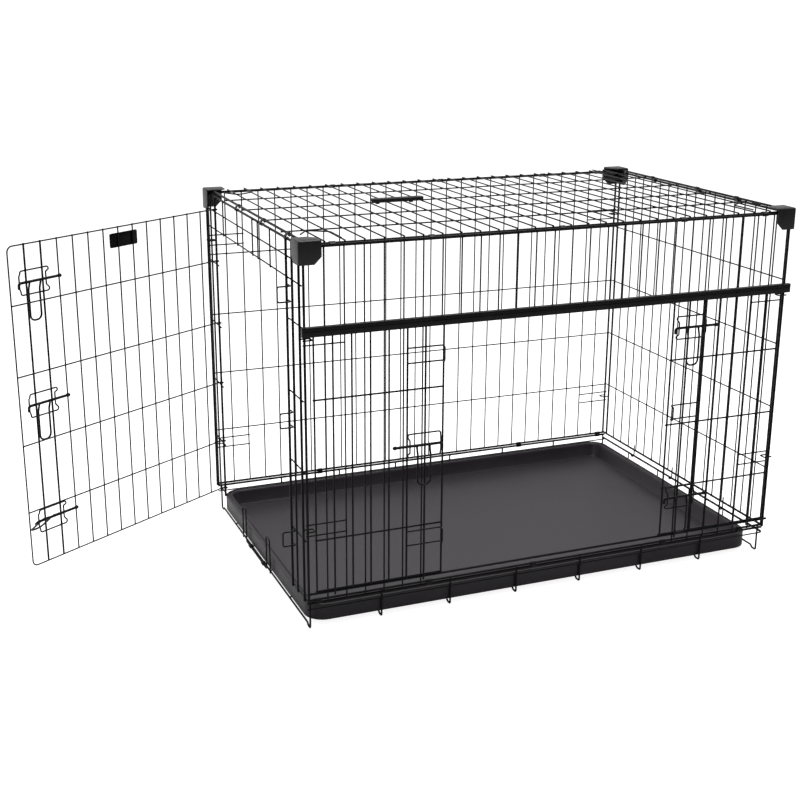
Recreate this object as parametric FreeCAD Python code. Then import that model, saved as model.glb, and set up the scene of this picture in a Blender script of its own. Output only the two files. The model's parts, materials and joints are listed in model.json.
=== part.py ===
import FreeCAD, Part
import math
import os
from FreeCAD import Vector

# Wire dog crate. X runs along the long side, the end door is at -X, the sliding doors are at -Y,
# Z = 0 is the floor under the feet, and the origin is the centre of the footprint. Millimetres.

# ---- driving dimensions ------------------------------------------------------------------------
frame_length = 1070.0      # between the corner posts of a long panel
frame_width = 703.0        # between the two long panels, mesh wire to mesh wire
frame_height = 768.0       # centre of the top frame wires
bays_long = 27
bays_wide = 18
first_row = 200.0          # lowest mesh row of the upright panels
mesh_rows = 4
panel_foot = 64.0          # centre of the bottom frame wire of the upright panels

mesh_wire = 3.0
slider_wire = 3.6
heavy_wire = 4.0
frame_wire = 5.0
latch_wire = 5.6
loop_wire = 3.2
running_gap = 0.3
weld_gap = 0.05

# front: rail, guide and the two sliding doors
rail_low = 602.0
rail_high = 620.0
guide_height = 82.0
slider_width = 263.0
slider_bays = 7
slider_inset = 14.0        # parked door, from its corner post
fixed_bays = 6             # upright wires beside each corner post
slider_rows_left = (194.0, 478.0)
slider_rows_right = (194.0, 336.0, 478.0)
slider_latch_high = 548.0
slider_latch_mid = 366.0
slider_latch_low = 172.0

# end door and the ladders that frame it
hinge_inset = 86.6         # hinge wire, from the back mesh plane
latch_ladder = (54.4, 86.5)  # its two wires, from the front mesh plane
back_ladder = 43.3
rung_drop = 11.0           # ladder rungs below the door's rows, clear of its curls
door_bays = 13
door_last_bay = 42.0       # last upright to the free edge
door_low = 83.0
door_high = 743.0
door_rows = (200.0, 342.0, 484.0, 627.0)
door_open = 58.09          # rest pose, degrees from shut
door_latches = (170.0, 417.0, 666.0)
header_rows = (695.0, 735.0)
header_wires = (195.0, 280.0, 319.0, 435.0, 552.0)
plate_start = 226.0
plate_length = 75.0
plate_height = 30.0
plate_low = 700.0
plate_thickness = 2.0

# latch: sliding bolt with a bent nose, swinging bail, wire housing and keeper
bolt_length = 104.0
nose_drop = 12.0
nose_inset = 28.0          # nose to the free edge of the end door
slider_nose_inset = 3.0
bail_far = 54.0
bail_near = 27.0
bail_drop = 80.0
housing_far = 72.0
housing_near = 3.0
housing_half = 24.0
housing_pinch = 2.0
collar_wall = 1.0
keeper_half = 15.0
keeper_reach = 8.0         # door keeper, past the nose
keeper_stand = 5.0         # clear space outside the bolt
swung_latch = 50.0         # lowest door latch, degrees out from hanging

# floor, tray and stops
foot_depth = 2.0
floor_wire_height = 7.0
cross_wires = 8
runners = 4
lip_height = 57.8
low_lip_height = 44.0
tray_start = 6.0           # tray end, in from the door end post
tray_end_gap = 8.2         # tray end to the bend of the floor runners
tray_side_gap = 1.45       # tray rim to the foot wires
tray_height = 34.0
tray_wall = 2.5
tray_rim = 14.0
tray_slope = 12.0
tray_corner = 32.0
stop_height = 85.0
stop_width = 26.0
stop_places = (286.0, 474.0)
stop_wire = 3.2

# top panel and its fittings
top_plane = 772.5
top_rows = 4
top_end_inset = 6.0
guard_size = 45.0
guard_wall = 2.5
guard_low = 735.0
guard_chamfer = 12.0
clip_wall = 1.2
clip_length = 12.0
grip_length = 120.0
grip_depth = 20.0
grip_height = 6.0
grip_stand = 6.0           # grip's near edge to the wire it hinges on
grip_bay = 8.65
grip_row = 3

# ---- derived planes ----------------------------------------------------------------------------
half_length = frame_length / 2
half_width = frame_width / 2
bay_long = frame_length / bays_long
row_pitch = (frame_height - first_row) / mesh_rows
rows = [first_row + i * row_pitch for i in range(mesh_rows)]
side_weld = half_width - mesh_wire / 2           # |y| where uprights meet rows on the long panels
post_y = side_weld + frame_wire / 2
inner_y = side_weld - frame_wire
end_post_x = half_length + frame_wire + running_gap
end_weld = end_post_x - frame_wire / 2           # |x| of the same plane on the end panels
end_half = inner_y - 1.0                         # half the end panels' width
end_post_y = end_half - frame_wire / 2
bay_wide = 2 * end_post_y / bays_wide

UP = Vector(0, 0, 1)
os.makedirs("parts", exist_ok=True)


# ---- helpers -----------------------------------------------------------------------------------
def unit(vector):
    return Vector(vector).multiply(1 / vector.Length)


def rod(start, end, diameter):
    return Part.makeCylinder(diameter / 2, (end - start).Length, start, unit(end - start))


def rounded_path(points, radius, closed=False):
    """Edges of straight runs joined by tangent arcs; radius may be a number or one per corner."""
    count = len(points)
    corners = list(range(count)) if closed else list(range(1, count - 1))
    radii = radius if isinstance(radius, (list, tuple)) else [radius] * len(corners)
    cut = {}
    for corner, bend in zip(corners, radii):
        here = points[corner]
        before = unit(points[corner - 1] - here)
        after = unit(points[(corner + 1) % count] - here)
        half_turn = (math.pi - before.getAngle(after)) / 2
        back = bend * math.tan(half_turn)
        middle = unit(before + after)
        bulge = bend / math.cos(half_turn) - bend
        cut[corner] = (here + before * back, here + middle * bulge, here + after * back)
    edges = []
    last = count if closed else count - 1
    for i in range(last):
        j = (i + 1) % count
        start = cut[i][2] if i in cut else points[i]
        end = cut[j][0] if j in cut else points[j]
        if (end - start).Length > 1e-6:
            edges.append(Part.LineSegment(start, end).toShape())
        if j in cut:
            edges.append(Part.Arc(*cut[j]).toShape())
    return edges


def sweep(edges, diameter):
    first = edges[0]
    start = first.valueAt(first.FirstParameter)
    heading = first.tangentAt(first.FirstParameter)
    profile = Part.Wire([Part.makeCircle(diameter / 2, start, heading)])
    return Part.Wire(edges).makePipeShell([profile], True, False)


def bent(points, radius, diameter, closed=False):
    return sweep(rounded_path(points, radius, closed), diameter)


def save(name, solids):
    shape = Part.makeCompound(solids) if len(solids) > 1 else solids[0]
    for solid in shape.Solids:
        if not solid.isValid() or solid.Volume <= 0:
            raise ValueError(name + " holds a broken solid")
    shape.exportStep("parts/" + name + ".step")
    print(name, len(shape.Solids), round(shape.Volume))


class Sheet:
    """A flat wire panel: u runs along it, w is up, n is outwards from its weld plane."""

    def __init__(self, origin, along, outward):
        self.origin = origin
        self.along = along
        self.outward = outward

    def at(self, u, n, w):
        return self.origin + self.along * u + self.outward * n + UP * w

    def upright(self, u, low, high, diameter):
        n = diameter / 2 + weld_gap / 2
        return rod(self.at(u, n, low), self.at(u, n, high), diameter)

    def row(self, w, start, end, diameter):
        n = -diameter / 2 - weld_gap / 2
        return rod(self.at(start, n, w), self.at(end, n, w), diameter)

    def block(self, u, n, w):
        """Box from (low, high) pairs along u, n and w."""
        corners = [self.at(a, b, w[0]) for a, b in
                   ((u[0], n[0]), (u[1], n[0]), (u[1], n[1]), (u[0], n[1]))]
        face = Part.Face(Part.makePolygon(corners + [corners[0]]))
        return face.extrude(UP * (w[1] - w[0]))


def ring_clip(first, second, along, wire, places):
    """C-clips: flat bands closed round two parallel wires, one at each place along them."""
    inner = wire / 2 + weld_gap
    across = unit(second - first)
    side = unit(along.cross(across))
    bands = []
    for place in places:
        shells = []
        for radius in (inner + clip_wall, inner):
            points = [first + side * radius, second + side * radius,
                      second - side * radius, first - side * radius]
            points = [p + along * (place - clip_length / 2) for p in points]
            ends = [first - across * radius + along * (place - clip_length / 2),
                    second + across * radius + along * (place - clip_length / 2)]
            outline = Part.Wire([
                Part.LineSegment(points[0], points[1]).toShape(),
                Part.Arc(points[1], ends[1], points[2]).toShape(),
                Part.LineSegment(points[2], points[3]).toShape(),
                Part.Arc(points[3], ends[0], points[0]).toShape()])
            shells.append(Part.Face(outline).extrude(along * clip_length))
        bands.append(shells[0].cut(shells[1]))
    return bands


# ---- upright panels ----------------------------------------------------------------------------
front = Sheet(Vector(0, -side_weld, 0), Vector(1, 0, 0), Vector(0, -1, 0))
back = Sheet(Vector(0, side_weld, 0), Vector(1, 0, 0), Vector(0, 1, 0))
left = Sheet(Vector(-end_weld, 0, 0), Vector(0, 1, 0), Vector(-1, 0, 0))
right = Sheet(Vector(end_weld, 0, 0), Vector(0, 1, 0), Vector(1, 0, 0))
long_reach = half_length + frame_wire / 2
post_low = panel_foot - frame_wire / 2
post_high = frame_height + frame_wire / 2
mid_rail_height = (rail_low + rail_high) / 2


def long_upright(k):
    return -half_length + k * bay_long


def slots(sheet, left_rows, right_rows):
    """Pairs of short rows from a corner post to the second mesh wire, for the end panels' hooks."""
    reach = long_upright(2) + mesh_wire / 2
    pairs = [sheet.row(w, -long_reach, reach, mesh_wire) for w in left_rows]
    return pairs + [sheet.row(w, -reach, long_reach, mesh_wire) for w in right_rows]


slot_half = 11.5
foot_hook_bays = (3.8, 9.5, 14.2)
front_slots_left = (212.5, 594.0)
front_slots_right = (229.0, 594.0)
back_slots = (167.0, 659.0)


def slot_rows(centres):
    return [centre + side * slot_half for centre in centres for side in (-1, 1)]


def build_back():
    posts = [back.upright(s * half_length, post_low, post_high, frame_wire) for s in (-1, 1)]
    mesh = [back.upright(long_upright(k), post_low, post_high, mesh_wire)
            for k in range(1, bays_long)]
    frame = [back.row(w, -long_reach, long_reach, frame_wire) for w in (panel_foot, frame_height)]
    lines = [back.row(w, -long_reach, long_reach, mesh_wire) for w in rows]
    save("back_panel_frame", posts + frame)
    save("back_panel_mesh", mesh + lines + slots(back, slot_rows(back_slots),
                                                 slot_rows(back_slots)))


def build_front():
    posts = [front.upright(s * half_length, post_low, post_high, frame_wire) for s in (-1, 1)]
    frame = [front.row(w, -long_reach, long_reach, frame_wire)
             for w in (panel_foot, mid_rail_height, frame_height)]
    save("front_panel_frame", posts + frame)
    upper = [front.upright(long_upright(k), mid_rail_height - frame_wire / 2, post_high, mesh_wire)
             for k in range(1, bays_long)]
    save("front_upper_mesh", upper)
    top = mid_rail_height - frame_wire
    left_side = [front.upright(long_upright(k), post_low, top, mesh_wire)
                 for k in range(1, fixed_bays + 1)]
    right_side = [front.upright(-long_upright(k), post_low, top, mesh_wire)
                  for k in range(1, fixed_bays + 1)]
    pairs = slots(front, slot_rows(front_slots_left), slot_rows(front_slots_right))
    save("front_left_mesh", left_side + [p for p in pairs if p.CenterOfMass.x < 0])
    save("front_right_mesh", right_side + [p for p in pairs if p.CenterOfMass.x > 0])


def build_right_end():
    posts = [right.upright(s * end_post_y, post_low, post_high, frame_wire) for s in (-1, 1)]
    frame = [right.row(w, -end_half, end_half, frame_wire) for w in (panel_foot, frame_height)]
    mesh = [right.upright(-end_post_y + k * bay_wide, post_low, post_high, mesh_wire)
            for k in range(1, bays_wide)]
    lines = [right.row(w, -end_half, end_half, mesh_wire) for w in rows]
    save("right_end_frame", posts + frame)
    save("right_end_mesh", mesh + lines)


hinge_y = half_width - hinge_inset
jamb_y = -half_width + latch_ladder[1]
keep_y = -half_width + latch_ladder[0]
door_width = hinge_y - keep_y
door_pitch = (door_width - door_last_bay) / door_bays
door_sheet_shut = Sheet(Vector(-end_post_x, hinge_y, 0), Vector(0, -1, 0), Vector(-1, 0, 0))
loop_radius = frame_wire / 2 + running_gap + mesh_wire / 2
door_weld = loop_radius + mesh_wire / 2 + weld_gap / 2
door_face = door_weld + heavy_wire + weld_gap / 2      # outer face of the door's heavy uprights
door_bolt = door_face + running_gap + latch_wire / 2
door_keeper_bar = door_bolt + latch_wire / 2 + keeper_stand


def build_left_end():
    posts = [left.upright(s * end_post_y, post_low, post_high, frame_wire) for s in (-1, 1)]
    top = left.row(frame_height, -end_half, end_half, frame_wire)
    save("left_end_frame", posts + [top])
    jambs = [left.upright(hinge_y, post_low, post_high, frame_wire),
             left.upright(hinge_y + back_ladder, post_low, post_high, heavy_wire),
             left.upright(jamb_y, post_low, post_high, frame_wire),
             left.upright(keep_y, post_low, post_high, heavy_wire)]
    edge = frame_wire / 2
    levels = [panel_foot] + [w - rung_drop for w in door_rows]
    rungs = [left.row(w, hinge_y - edge, end_half, mesh_wire) for w in levels]
    rungs += [left.row(w, -end_half, jamb_y + edge, mesh_wire) for w in levels]
    save("left_end_ladders", jambs + rungs)
    lines = [left.row(w, -end_half, end_half, mesh_wire) for w in header_rows]
    wires = [left.upright(-half_width + y, header_rows[0] - mesh_wire / 2, post_high, mesh_wire)
             for y in header_wires]
    save("left_end_header", lines + wires)


def build_door_keepers():
    """Wire staples that stand out from the latch ladder, one for each bolt of the end door."""
    u = door_width - nose_inset + keeper_reach
    ladder = hinge_y - jamb_y
    bar = door_keeper_bar + loop_wire / 2
    foot = -(frame_wire + loop_wire + weld_gap) / 2
    staples = []
    for axis in door_latches:
        points = [door_sheet_shut.at(ladder - frame_wire / 2, foot, axis + keeper_half),
                  door_sheet_shut.at(u, foot, axis + keeper_half),
                  door_sheet_shut.at(u, bar, axis + keeper_half),
                  door_sheet_shut.at(u, bar, axis - keeper_half),
                  door_sheet_shut.at(u, foot, axis - keeper_half),
                  door_sheet_shut.at(ladder - frame_wire / 2, foot, axis - keeper_half)]
        staples.append(bent(points, 4.0, loop_wire))
    return staples


# ---- latches -----------------------------------------------------------------------------------
def latch_housing(sheet, nose, axis, face, bolt):
    """Closed wire loop on the heavy uprights; its sides step out over the bolt."""
    flat = face + loop_wire / 2
    over = bolt + latch_wire / 2 + running_gap + loop_wire / 2
    step_low = nose_drop + 0.5
    step_high = housing_half - 6.0
    points = []
    radii = []
    for edge, inward, way in ((nose - housing_near, -housing_pinch, 1),
                              (nose - housing_far, housing_pinch, -1)):
        side = [(edge, flat, housing_half, 4.5), (edge, flat, step_high, 2.6),
                (edge + inward, over, step_low, 2.6), (edge + inward, over, -step_low, 2.6),
                (edge, flat, -step_high, 2.6), (edge, flat, -housing_half, 4.5)]
        for u, n, w, bend in side:
            points.append(sheet.at(u, n, axis + way * w))
            radii.append(bend)
    return bent(points, radii, loop_wire, closed=True)


def latch_bolt(sheet, nose, axis, bolt, turned):
    """Round bolt with a bent nose and a hanging wire bail, one welded piece."""
    tail = nose - bolt_length
    rod_path = [sheet.at(tail, bolt, axis), sheet.at(nose, bolt, axis),
                sheet.at(nose, bolt, axis - nose_drop)]
    body = bent(rod_path, latch_wire * 0.9, latch_wire)
    out = latch_wire / 2 + loop_wire + running_gap
    far = nose - bail_far
    near = nose - bail_near
    lean = 18.0
    bail_path = [sheet.at(far, bolt + 1.0, axis - 1.0), sheet.at(far, bolt + out, axis - lean),
                 sheet.at(far, bolt + out, axis - bail_drop),
                 sheet.at(near, bolt + out, axis - bail_drop),
                 sheet.at(near, bolt + out, axis - lean), sheet.at(near, bolt + 1.0, axis - 1.0)]
    bail = bent(bail_path, [8.0, 11.0, 11.0, 8.0], heavy_wire)
    piece = body.fuse(bail).removeSplitter().Solids[0]
    piece.rotate(sheet.at(0, bolt, axis), sheet.outward.cross(UP), turned)
    return piece


def latch_bead(sheet, nose, axis, bolt):
    """Stop collar that the tail of the bolt turns in."""
    tail = nose - bolt_length
    start = sheet.at(tail + 2.0, bolt, axis)
    collar = Part.makeCylinder(latch_wire / 2 + collar_wall, 5.0, start, sheet.along)
    hole = Part.makeCylinder(latch_wire / 2 + weld_gap, 7.0, start - sheet.along, sheet.along)
    return collar.cut(hole)


def slider_keeper(sheet, lead, pitch, axis, face, bolt):
    """Staple welded across two heavy uprights; its bar stands out at the leading edge."""
    u = lead - 4.0
    bar = bolt + latch_wire / 2 + keeper_stand + loop_wire / 2
    foot = face + loop_wire / 2
    points = [sheet.at(lead - 2 * pitch, foot, axis + keeper_half),
              sheet.at(u, foot, axis + keeper_half), sheet.at(u, bar, axis + keeper_half),
              sheet.at(u, bar, axis - keeper_half), sheet.at(u, foot, axis - keeper_half),
              sheet.at(lead - 2 * pitch, foot, axis - keeper_half)]
    return bent(points, 4.0, loop_wire)


# ---- end door ----------------------------------------------------------------------------------
turn = math.radians(door_open)
door_along = Vector(-math.sin(turn), -math.cos(turn), 0)
door_out = Vector(-math.cos(turn), math.sin(turn), 0)
door = Sheet(Vector(-end_post_x, hinge_y, 0), door_along, door_out)


def door_row(w, end):
    """A row of the end door, curled round the hinge wire at its near end."""
    curl = math.radians(285)
    middle = curl / 2
    begin = door.at(-math.sin(curl) * loop_radius, math.cos(curl) * loop_radius, w)
    halfway = door.at(-math.sin(middle) * loop_radius, math.cos(middle) * loop_radius, w)
    tangent = door.at(0, loop_radius, w)
    return [Part.Arc(begin, halfway, tangent).toShape(),
            Part.LineSegment(tangent, door.at(end, loop_radius, w)).toShape()]


def build_door():
    corner = 12.0
    lift = corner * (1 - math.sqrt(0.5))
    low = door_low
    high = door_high
    free = door_width
    n = loop_radius
    outline = door_row(high, free - corner)
    outline.append(Part.Arc(door.at(free - corner, n, high), door.at(free - lift, n, high - lift),
                            door.at(free, n, high - corner)).toShape())
    outline.append(Part.LineSegment(door.at(free, n, high - corner),
                                    door.at(free, n, low + corner)).toShape())
    outline.append(Part.Arc(door.at(free, n, low + corner), door.at(free - lift, n, low + lift),
                            door.at(free - corner, n, low)).toShape())
    outline += reversed(door_row(low, free - corner))
    save("end_door_frame", [sweep(outline, mesh_wire)])
    lines = [sweep(door_row(w, door_width - mesh_wire / 2), mesh_wire) for w in door_rows]
    mesh = []
    for k in range(1, door_bays + 1):
        wire = heavy_wire if k > door_bays - 2 else mesh_wire
        face = door_weld + wire / 2
        mesh.append(rod(door.at(k * door_pitch, face, low - mesh_wire / 2),
                        door.at(k * door_pitch, face, high + mesh_wire / 2), wire))
    save("end_door_mesh", lines + mesh)
    plate_back = door_weld + mesh_wire + weld_gap
    save("door_plate", [door.block((plate_start, plate_start + plate_length),
                                   (plate_back, plate_back + plate_thickness),
                                   (plate_low, plate_low + plate_height))])


# ---- sliding doors, rail and guide -------------------------------------------------------------
guide_y = post_y + frame_wire + weld_gap
rail_back = post_y + frame_wire / 2 + weld_gap
rail_face = 2.1
slider_weld = guide_y + frame_wire / 2 + running_gap
groove_back = slider_weld - slider_wire - running_gap
groove_front = slider_weld + heavy_wire + weld_gap + running_gap
rail_front = groove_front + rail_face
rail_roof = 3.0
rail_overhang = 8.0
slider_top = rail_low + 7.0
slider_low = guide_height + frame_wire / 2 + running_gap + slider_wire / 2
slider_pitch = slider_width / slider_bays
slider_face = heavy_wire + weld_gap / 2
slider_bolt = slider_face + running_gap + latch_wire / 2
left_slider = Sheet(Vector(-half_length + slider_inset, -slider_weld, 0),
                    Vector(1, 0, 0), Vector(0, -1, 0))
right_slider = Sheet(Vector(half_length - slider_inset, -slider_weld, 0),
                     Vector(-1, 0, 0), Vector(0, -1, 0))
slider_nose = slider_width - slider_nose_inset


def build_rail():
    reach = half_length + rail_overhang
    outer = Part.makeBox(2 * reach, rail_front - rail_back, rail_high - rail_low,
                         Vector(-reach, -rail_front, rail_low))
    ends = [e for e in outer.Edges if abs(e.tangentAt(e.FirstParameter).z) > 0.9]
    outer = outer.makeFillet(4.0, ends)
    stop = half_length - slider_inset + slider_wire
    groove = Part.makeBox(2 * stop, groove_front - groove_back, rail_high - rail_roof - rail_low,
                          Vector(-stop, -groove_front, rail_low))
    bead = Part.makeBox(2 * reach, 1.2, 2.4, Vector(-reach, -rail_front, mid_rail_height + 1.0))
    save("slider_rail", [outer.cut(groove).cut(bead)])
    reach = half_length + frame_wire
    save("slider_guide", [rod(Vector(-reach, -guide_y, guide_height),
                              Vector(reach, -guide_y, guide_height), frame_wire)])


def build_slider(name, sheet, levels):
    glide_low = guide_height - frame_wire - 1.0
    uprights = []
    for k in range(slider_bays + 1):
        wire = heavy_wire if k > slider_bays - 3 else slider_wire
        low = glide_low if k in (1, slider_bays - 1) else slider_low - slider_wire / 2
        uprights.append(sheet.upright(k * slider_pitch, low, slider_top + slider_wire / 2, wire))
    lines = [sheet.row(w, -slider_wire / 2, slider_width + heavy_wire / 2, slider_wire)
             for w in (slider_low,) + levels + (slider_top,)]
    save(name, uprights + lines)


def build_sliders():
    build_slider("left_sliding_door", left_slider, slider_rows_left)
    build_slider("right_sliding_door", right_slider, slider_rows_right)
    keepers = [slider_keeper(left_slider, slider_width, slider_pitch, axis, slider_face,
                             slider_bolt) for axis in (slider_latch_low, slider_latch_high)]
    save("left_slider_keepers", keepers)
    save("right_slider_keeper", [slider_keeper(right_slider, slider_width, slider_pitch,
                                               slider_latch_mid, slider_face, slider_bolt)])


def build_latches():
    door_nose = door_width - nose_inset
    sets = [("door_lower", door, door_nose, door_latches[0], door_face, door_bolt, swung_latch),
            ("door_middle", door, door_nose, door_latches[1], door_face, door_bolt, 0),
            ("door_upper", door, door_nose, door_latches[2], door_face, door_bolt, 0),
            ("left_slider", left_slider, slider_nose, slider_latch_mid, slider_face,
             slider_bolt, 0),
            ("right_slider_lower", right_slider, slider_nose, slider_latch_low, slider_face,
             slider_bolt, 0),
            ("right_slider_upper", right_slider, slider_nose, slider_latch_high, slider_face,
             slider_bolt, 0)]
    for name, sheet, nose, axis, face, bolt, turned in sets:
        save(name + "_latch_housing", [latch_housing(sheet, nose, axis, face, bolt)])
        save(name + "_latch_bolt", [latch_bolt(sheet, nose, axis, bolt, turned)])
        save(name + "_latch_collar", [latch_bead(sheet, nose, axis, bolt)])
    save("end_door_keepers", build_door_keepers())


# ---- floor, tray and stops ---------------------------------------------------------------------
lip_y = side_weld - frame_wire / 2
floor_upright_y = side_weld - frame_wire - heavy_wire / 2 - weld_gap
floor_first = half_length - 5.0
floor_pitch = 2 * floor_first / (cross_wires - 1)
runner_height = floor_wire_height + (heavy_wire + mesh_wire) / 2 + weld_gap
tray_floor = runner_height + mesh_wire / 2 + weld_gap
end_lip_x = end_weld - frame_wire / 2 - weld_gap
end_lip_height = low_lip_height + (mesh_wire + frame_wire) / 2 + weld_gap
riser_x = end_lip_x - (frame_wire + mesh_wire) / 2 - weld_gap
riser_turn_x = riser_x - 8.0
foot_run = floor_upright_y - 25.0


def build_floor():
    runs = []
    feet = []
    for k in range(cross_wires):
        x = -floor_first + k * floor_pitch
        runs.append(rod(Vector(x, -foot_run, floor_wire_height),
                        Vector(x, foot_run, floor_wire_height), heavy_wire))
        for side in (-1, 1):
            path = [Vector(x, side * floor_upright_y, lip_height + frame_wire / 2),
                    Vector(x, side * floor_upright_y, foot_depth),
                    Vector(x, side * (floor_upright_y - 12.0), foot_depth),
                    Vector(x, side * (floor_upright_y - 19.0), floor_wire_height),
                    Vector(x, side * foot_run, floor_wire_height)]
            feet.append(bent(path, [4.0, 3.0, 3.0], heavy_wire))
    save("floor_cross_wires", runs)
    save("floor_feet", feet)
    bend = 6.0
    straight = []
    risers = []
    for k in range(runners):
        y = -half_width + (k + 1) * frame_width / (runners + 1)
        straight.append(rod(Vector(-floor_first - heavy_wire / 2, y, runner_height),
                            Vector(riser_turn_x, y, runner_height), mesh_wire))
        risers.append(bent([Vector(riser_turn_x, y, runner_height), Vector(riser_x, y, runner_height),
                            Vector(riser_x, y, end_lip_height + frame_wire / 2)],
                           bend, mesh_wire))
    save("floor_runners", straight)
    low_lip_y = side_weld - frame_wire + mesh_wire / 2
    lips = []
    for side in (-1, 1):
        lips.append(rod(Vector(-long_reach, side * lip_y, lip_height),
                        Vector(long_reach, side * lip_y, lip_height), frame_wire))
        lips.append(rod(Vector(-long_reach, side * low_lip_y, low_lip_height),
                        Vector(long_reach, side * low_lip_y, low_lip_height), mesh_wire))
    lips.append(rod(Vector(end_lip_x, -side_weld, end_lip_height),
                    Vector(end_lip_x, side_weld, end_lip_height), frame_wire))
    save("floor_lips", lips + risers)


def rounded_outline(inset, radius, z):
    x_low = -half_length + tray_start + inset
    x_high = riser_turn_x - tray_end_gap - inset
    y_high = floor_upright_y - heavy_wire / 2 - tray_side_gap - inset
    corners = [Vector(x_low, -y_high, z), Vector(x_high, -y_high, z),
               Vector(x_high, y_high, z), Vector(x_low, y_high, z)]
    return Part.Wire(rounded_path(corners, radius, closed=True))


def build_tray():
    top = tray_floor + tray_height
    skin = tray_wall

    def prism(inset, radius, low, high):
        return Part.Face(rounded_outline(inset, radius, low)).extrude(UP * (high - low))

    def taper(thick, low, high):
        base = rounded_outline(tray_rim + tray_slope - thick, tray_corner / 2, low)
        mouth = rounded_outline(tray_rim - thick, tray_corner * 0.7, high)
        return Part.makeLoft([base, mouth], True, True)

    pan = prism(0, tray_corner, tray_floor, top)
    under = prism(skin, tray_corner - skin, tray_floor, top - skin)
    under = under.cut(taper(skin, tray_floor, top - skin))
    pan = pan.cut(under).cut(taper(0, tray_floor + skin, top))
    save("tray", [pan])


stop_x = -floor_first - (heavy_wire + stop_wire) / 2 - 0.4


def build_tray_stop():
    low = floor_wire_height
    far, near = [-half_width + y for y in stop_places]
    half = stop_width / 2
    path = [Vector(stop_x, near + half, low), Vector(stop_x, near + half, stop_height),
            Vector(stop_x, near - half, stop_height), Vector(stop_x, near - half, low),
            Vector(stop_x, far + half, low), Vector(stop_x, far + half, stop_height),
            Vector(stop_x, far - half, stop_height), Vector(stop_x, far - half, low)]
    save("tray_stop", [bent(path, 6.0, stop_wire)])
    centre = (near + far) / 2
    places = [centre - 50.0, centre + 50.0]
    save("tray_stop_clips", ring_clip(Vector(stop_x, 0, low), Vector(-floor_first, 0, low),
                                      Vector(0, 1, 0), heavy_wire, places))


# ---- top panel and fittings --------------------------------------------------------------------
top_edge_y = lip_y - frame_wire - 0.7
top_edge_z = top_plane - (frame_wire + weld_gap) / 2
top_reach = half_length - top_end_inset
top_pitch = 2 * top_reach / bays_long
top_row_pitch = 2 * top_edge_y / (top_rows + 1)
top_row_z = top_plane - (mesh_wire + weld_gap) / 2


def top_cross(k):
    return -top_reach + k * top_pitch


def build_top():
    long_end = top_reach + frame_wire / 2
    cross_end = top_edge_y + frame_wire / 2
    edges = [rod(Vector(-long_end, s * top_edge_y, top_edge_z),
                 Vector(long_end, s * top_edge_y, top_edge_z), frame_wire) for s in (-1, 1)]
    cross_z = top_plane + (frame_wire + weld_gap) / 2
    edges += [rod(Vector(s * top_reach, -cross_end, cross_z),
                  Vector(s * top_reach, cross_end, cross_z), frame_wire) for s in (-1, 1)]
    save("top_panel_frame", edges)
    mesh_z = top_plane + (mesh_wire + weld_gap) / 2
    mesh = [rod(Vector(top_cross(k), -cross_end, mesh_z),
                Vector(top_cross(k), cross_end, mesh_z), mesh_wire) for k in range(1, bays_long)]
    for k in range(1, top_rows + 1):
        y = -top_edge_y + k * top_row_pitch
        mesh.append(rod(Vector(-long_end, y, top_row_z), Vector(long_end, y, top_row_z),
                        mesh_wire))
    save("top_panel_mesh", mesh)
    hook_z = mesh_z + mesh_wire + weld_gap
    hooks = []
    for sx in (-1, 1):
        for sy in (-1, 1):
            path = [Vector(sx * (half_length - a), sy * (half_width - b), hook_z)
                    for a, b in ((20, 75), (43, 111), (82, 85), (81, 18))]
            hooks.append(bent(path, 12.0, mesh_wire))
    save("top_corner_hooks", hooks)


def build_guards():
    x_out = end_post_x + frame_wire / 2 + running_gap + guard_wall
    y_out = post_y + frame_wire / 2 + running_gap + guard_wall
    cap_low = top_plane + frame_wire + weld_gap + running_gap
    high = cap_low + guard_wall
    x_in = x_out - guard_size
    y_in = y_out - guard_size
    cut = guard_chamfer

    def plate(points, thickness):
        return Part.Face(Part.makePolygon(points + [points[0]])).extrude(thickness)

    side = plate([Vector(x_out, y_in, high), Vector(x_out, y_out, high),
                  Vector(x_out, y_out, guard_low), Vector(x_out, y_in + cut, guard_low),
                  Vector(x_out, y_in, guard_low + cut)], Vector(-guard_wall, 0, 0))
    face = plate([Vector(x_in, y_out, high), Vector(x_out, y_out, high),
                  Vector(x_out, y_out, guard_low), Vector(x_in + cut, y_out, guard_low),
                  Vector(x_in, y_out, guard_low + cut)], Vector(0, -guard_wall, 0))
    cap = plate([Vector(x_in + cut, y_in, cap_low), Vector(x_out, y_in, cap_low),
                 Vector(x_out, y_out, cap_low), Vector(x_in, y_out, cap_low),
                 Vector(x_in, y_in + cut, cap_low)], Vector(0, 0, guard_wall))
    guard = side.fuse([face, cap]).removeSplitter()
    origin = Vector(0, 0, 0)
    flipped = guard.mirror(origin, Vector(1, 0, 0))
    save("corner_guard_back_right", [guard])
    save("corner_guard_back_left", [flipped])
    save("corner_guard_front_right", [guard.mirror(origin, Vector(0, 1, 0))])
    save("corner_guard_front_left", [flipped.mirror(origin, Vector(0, 1, 0))])


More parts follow.
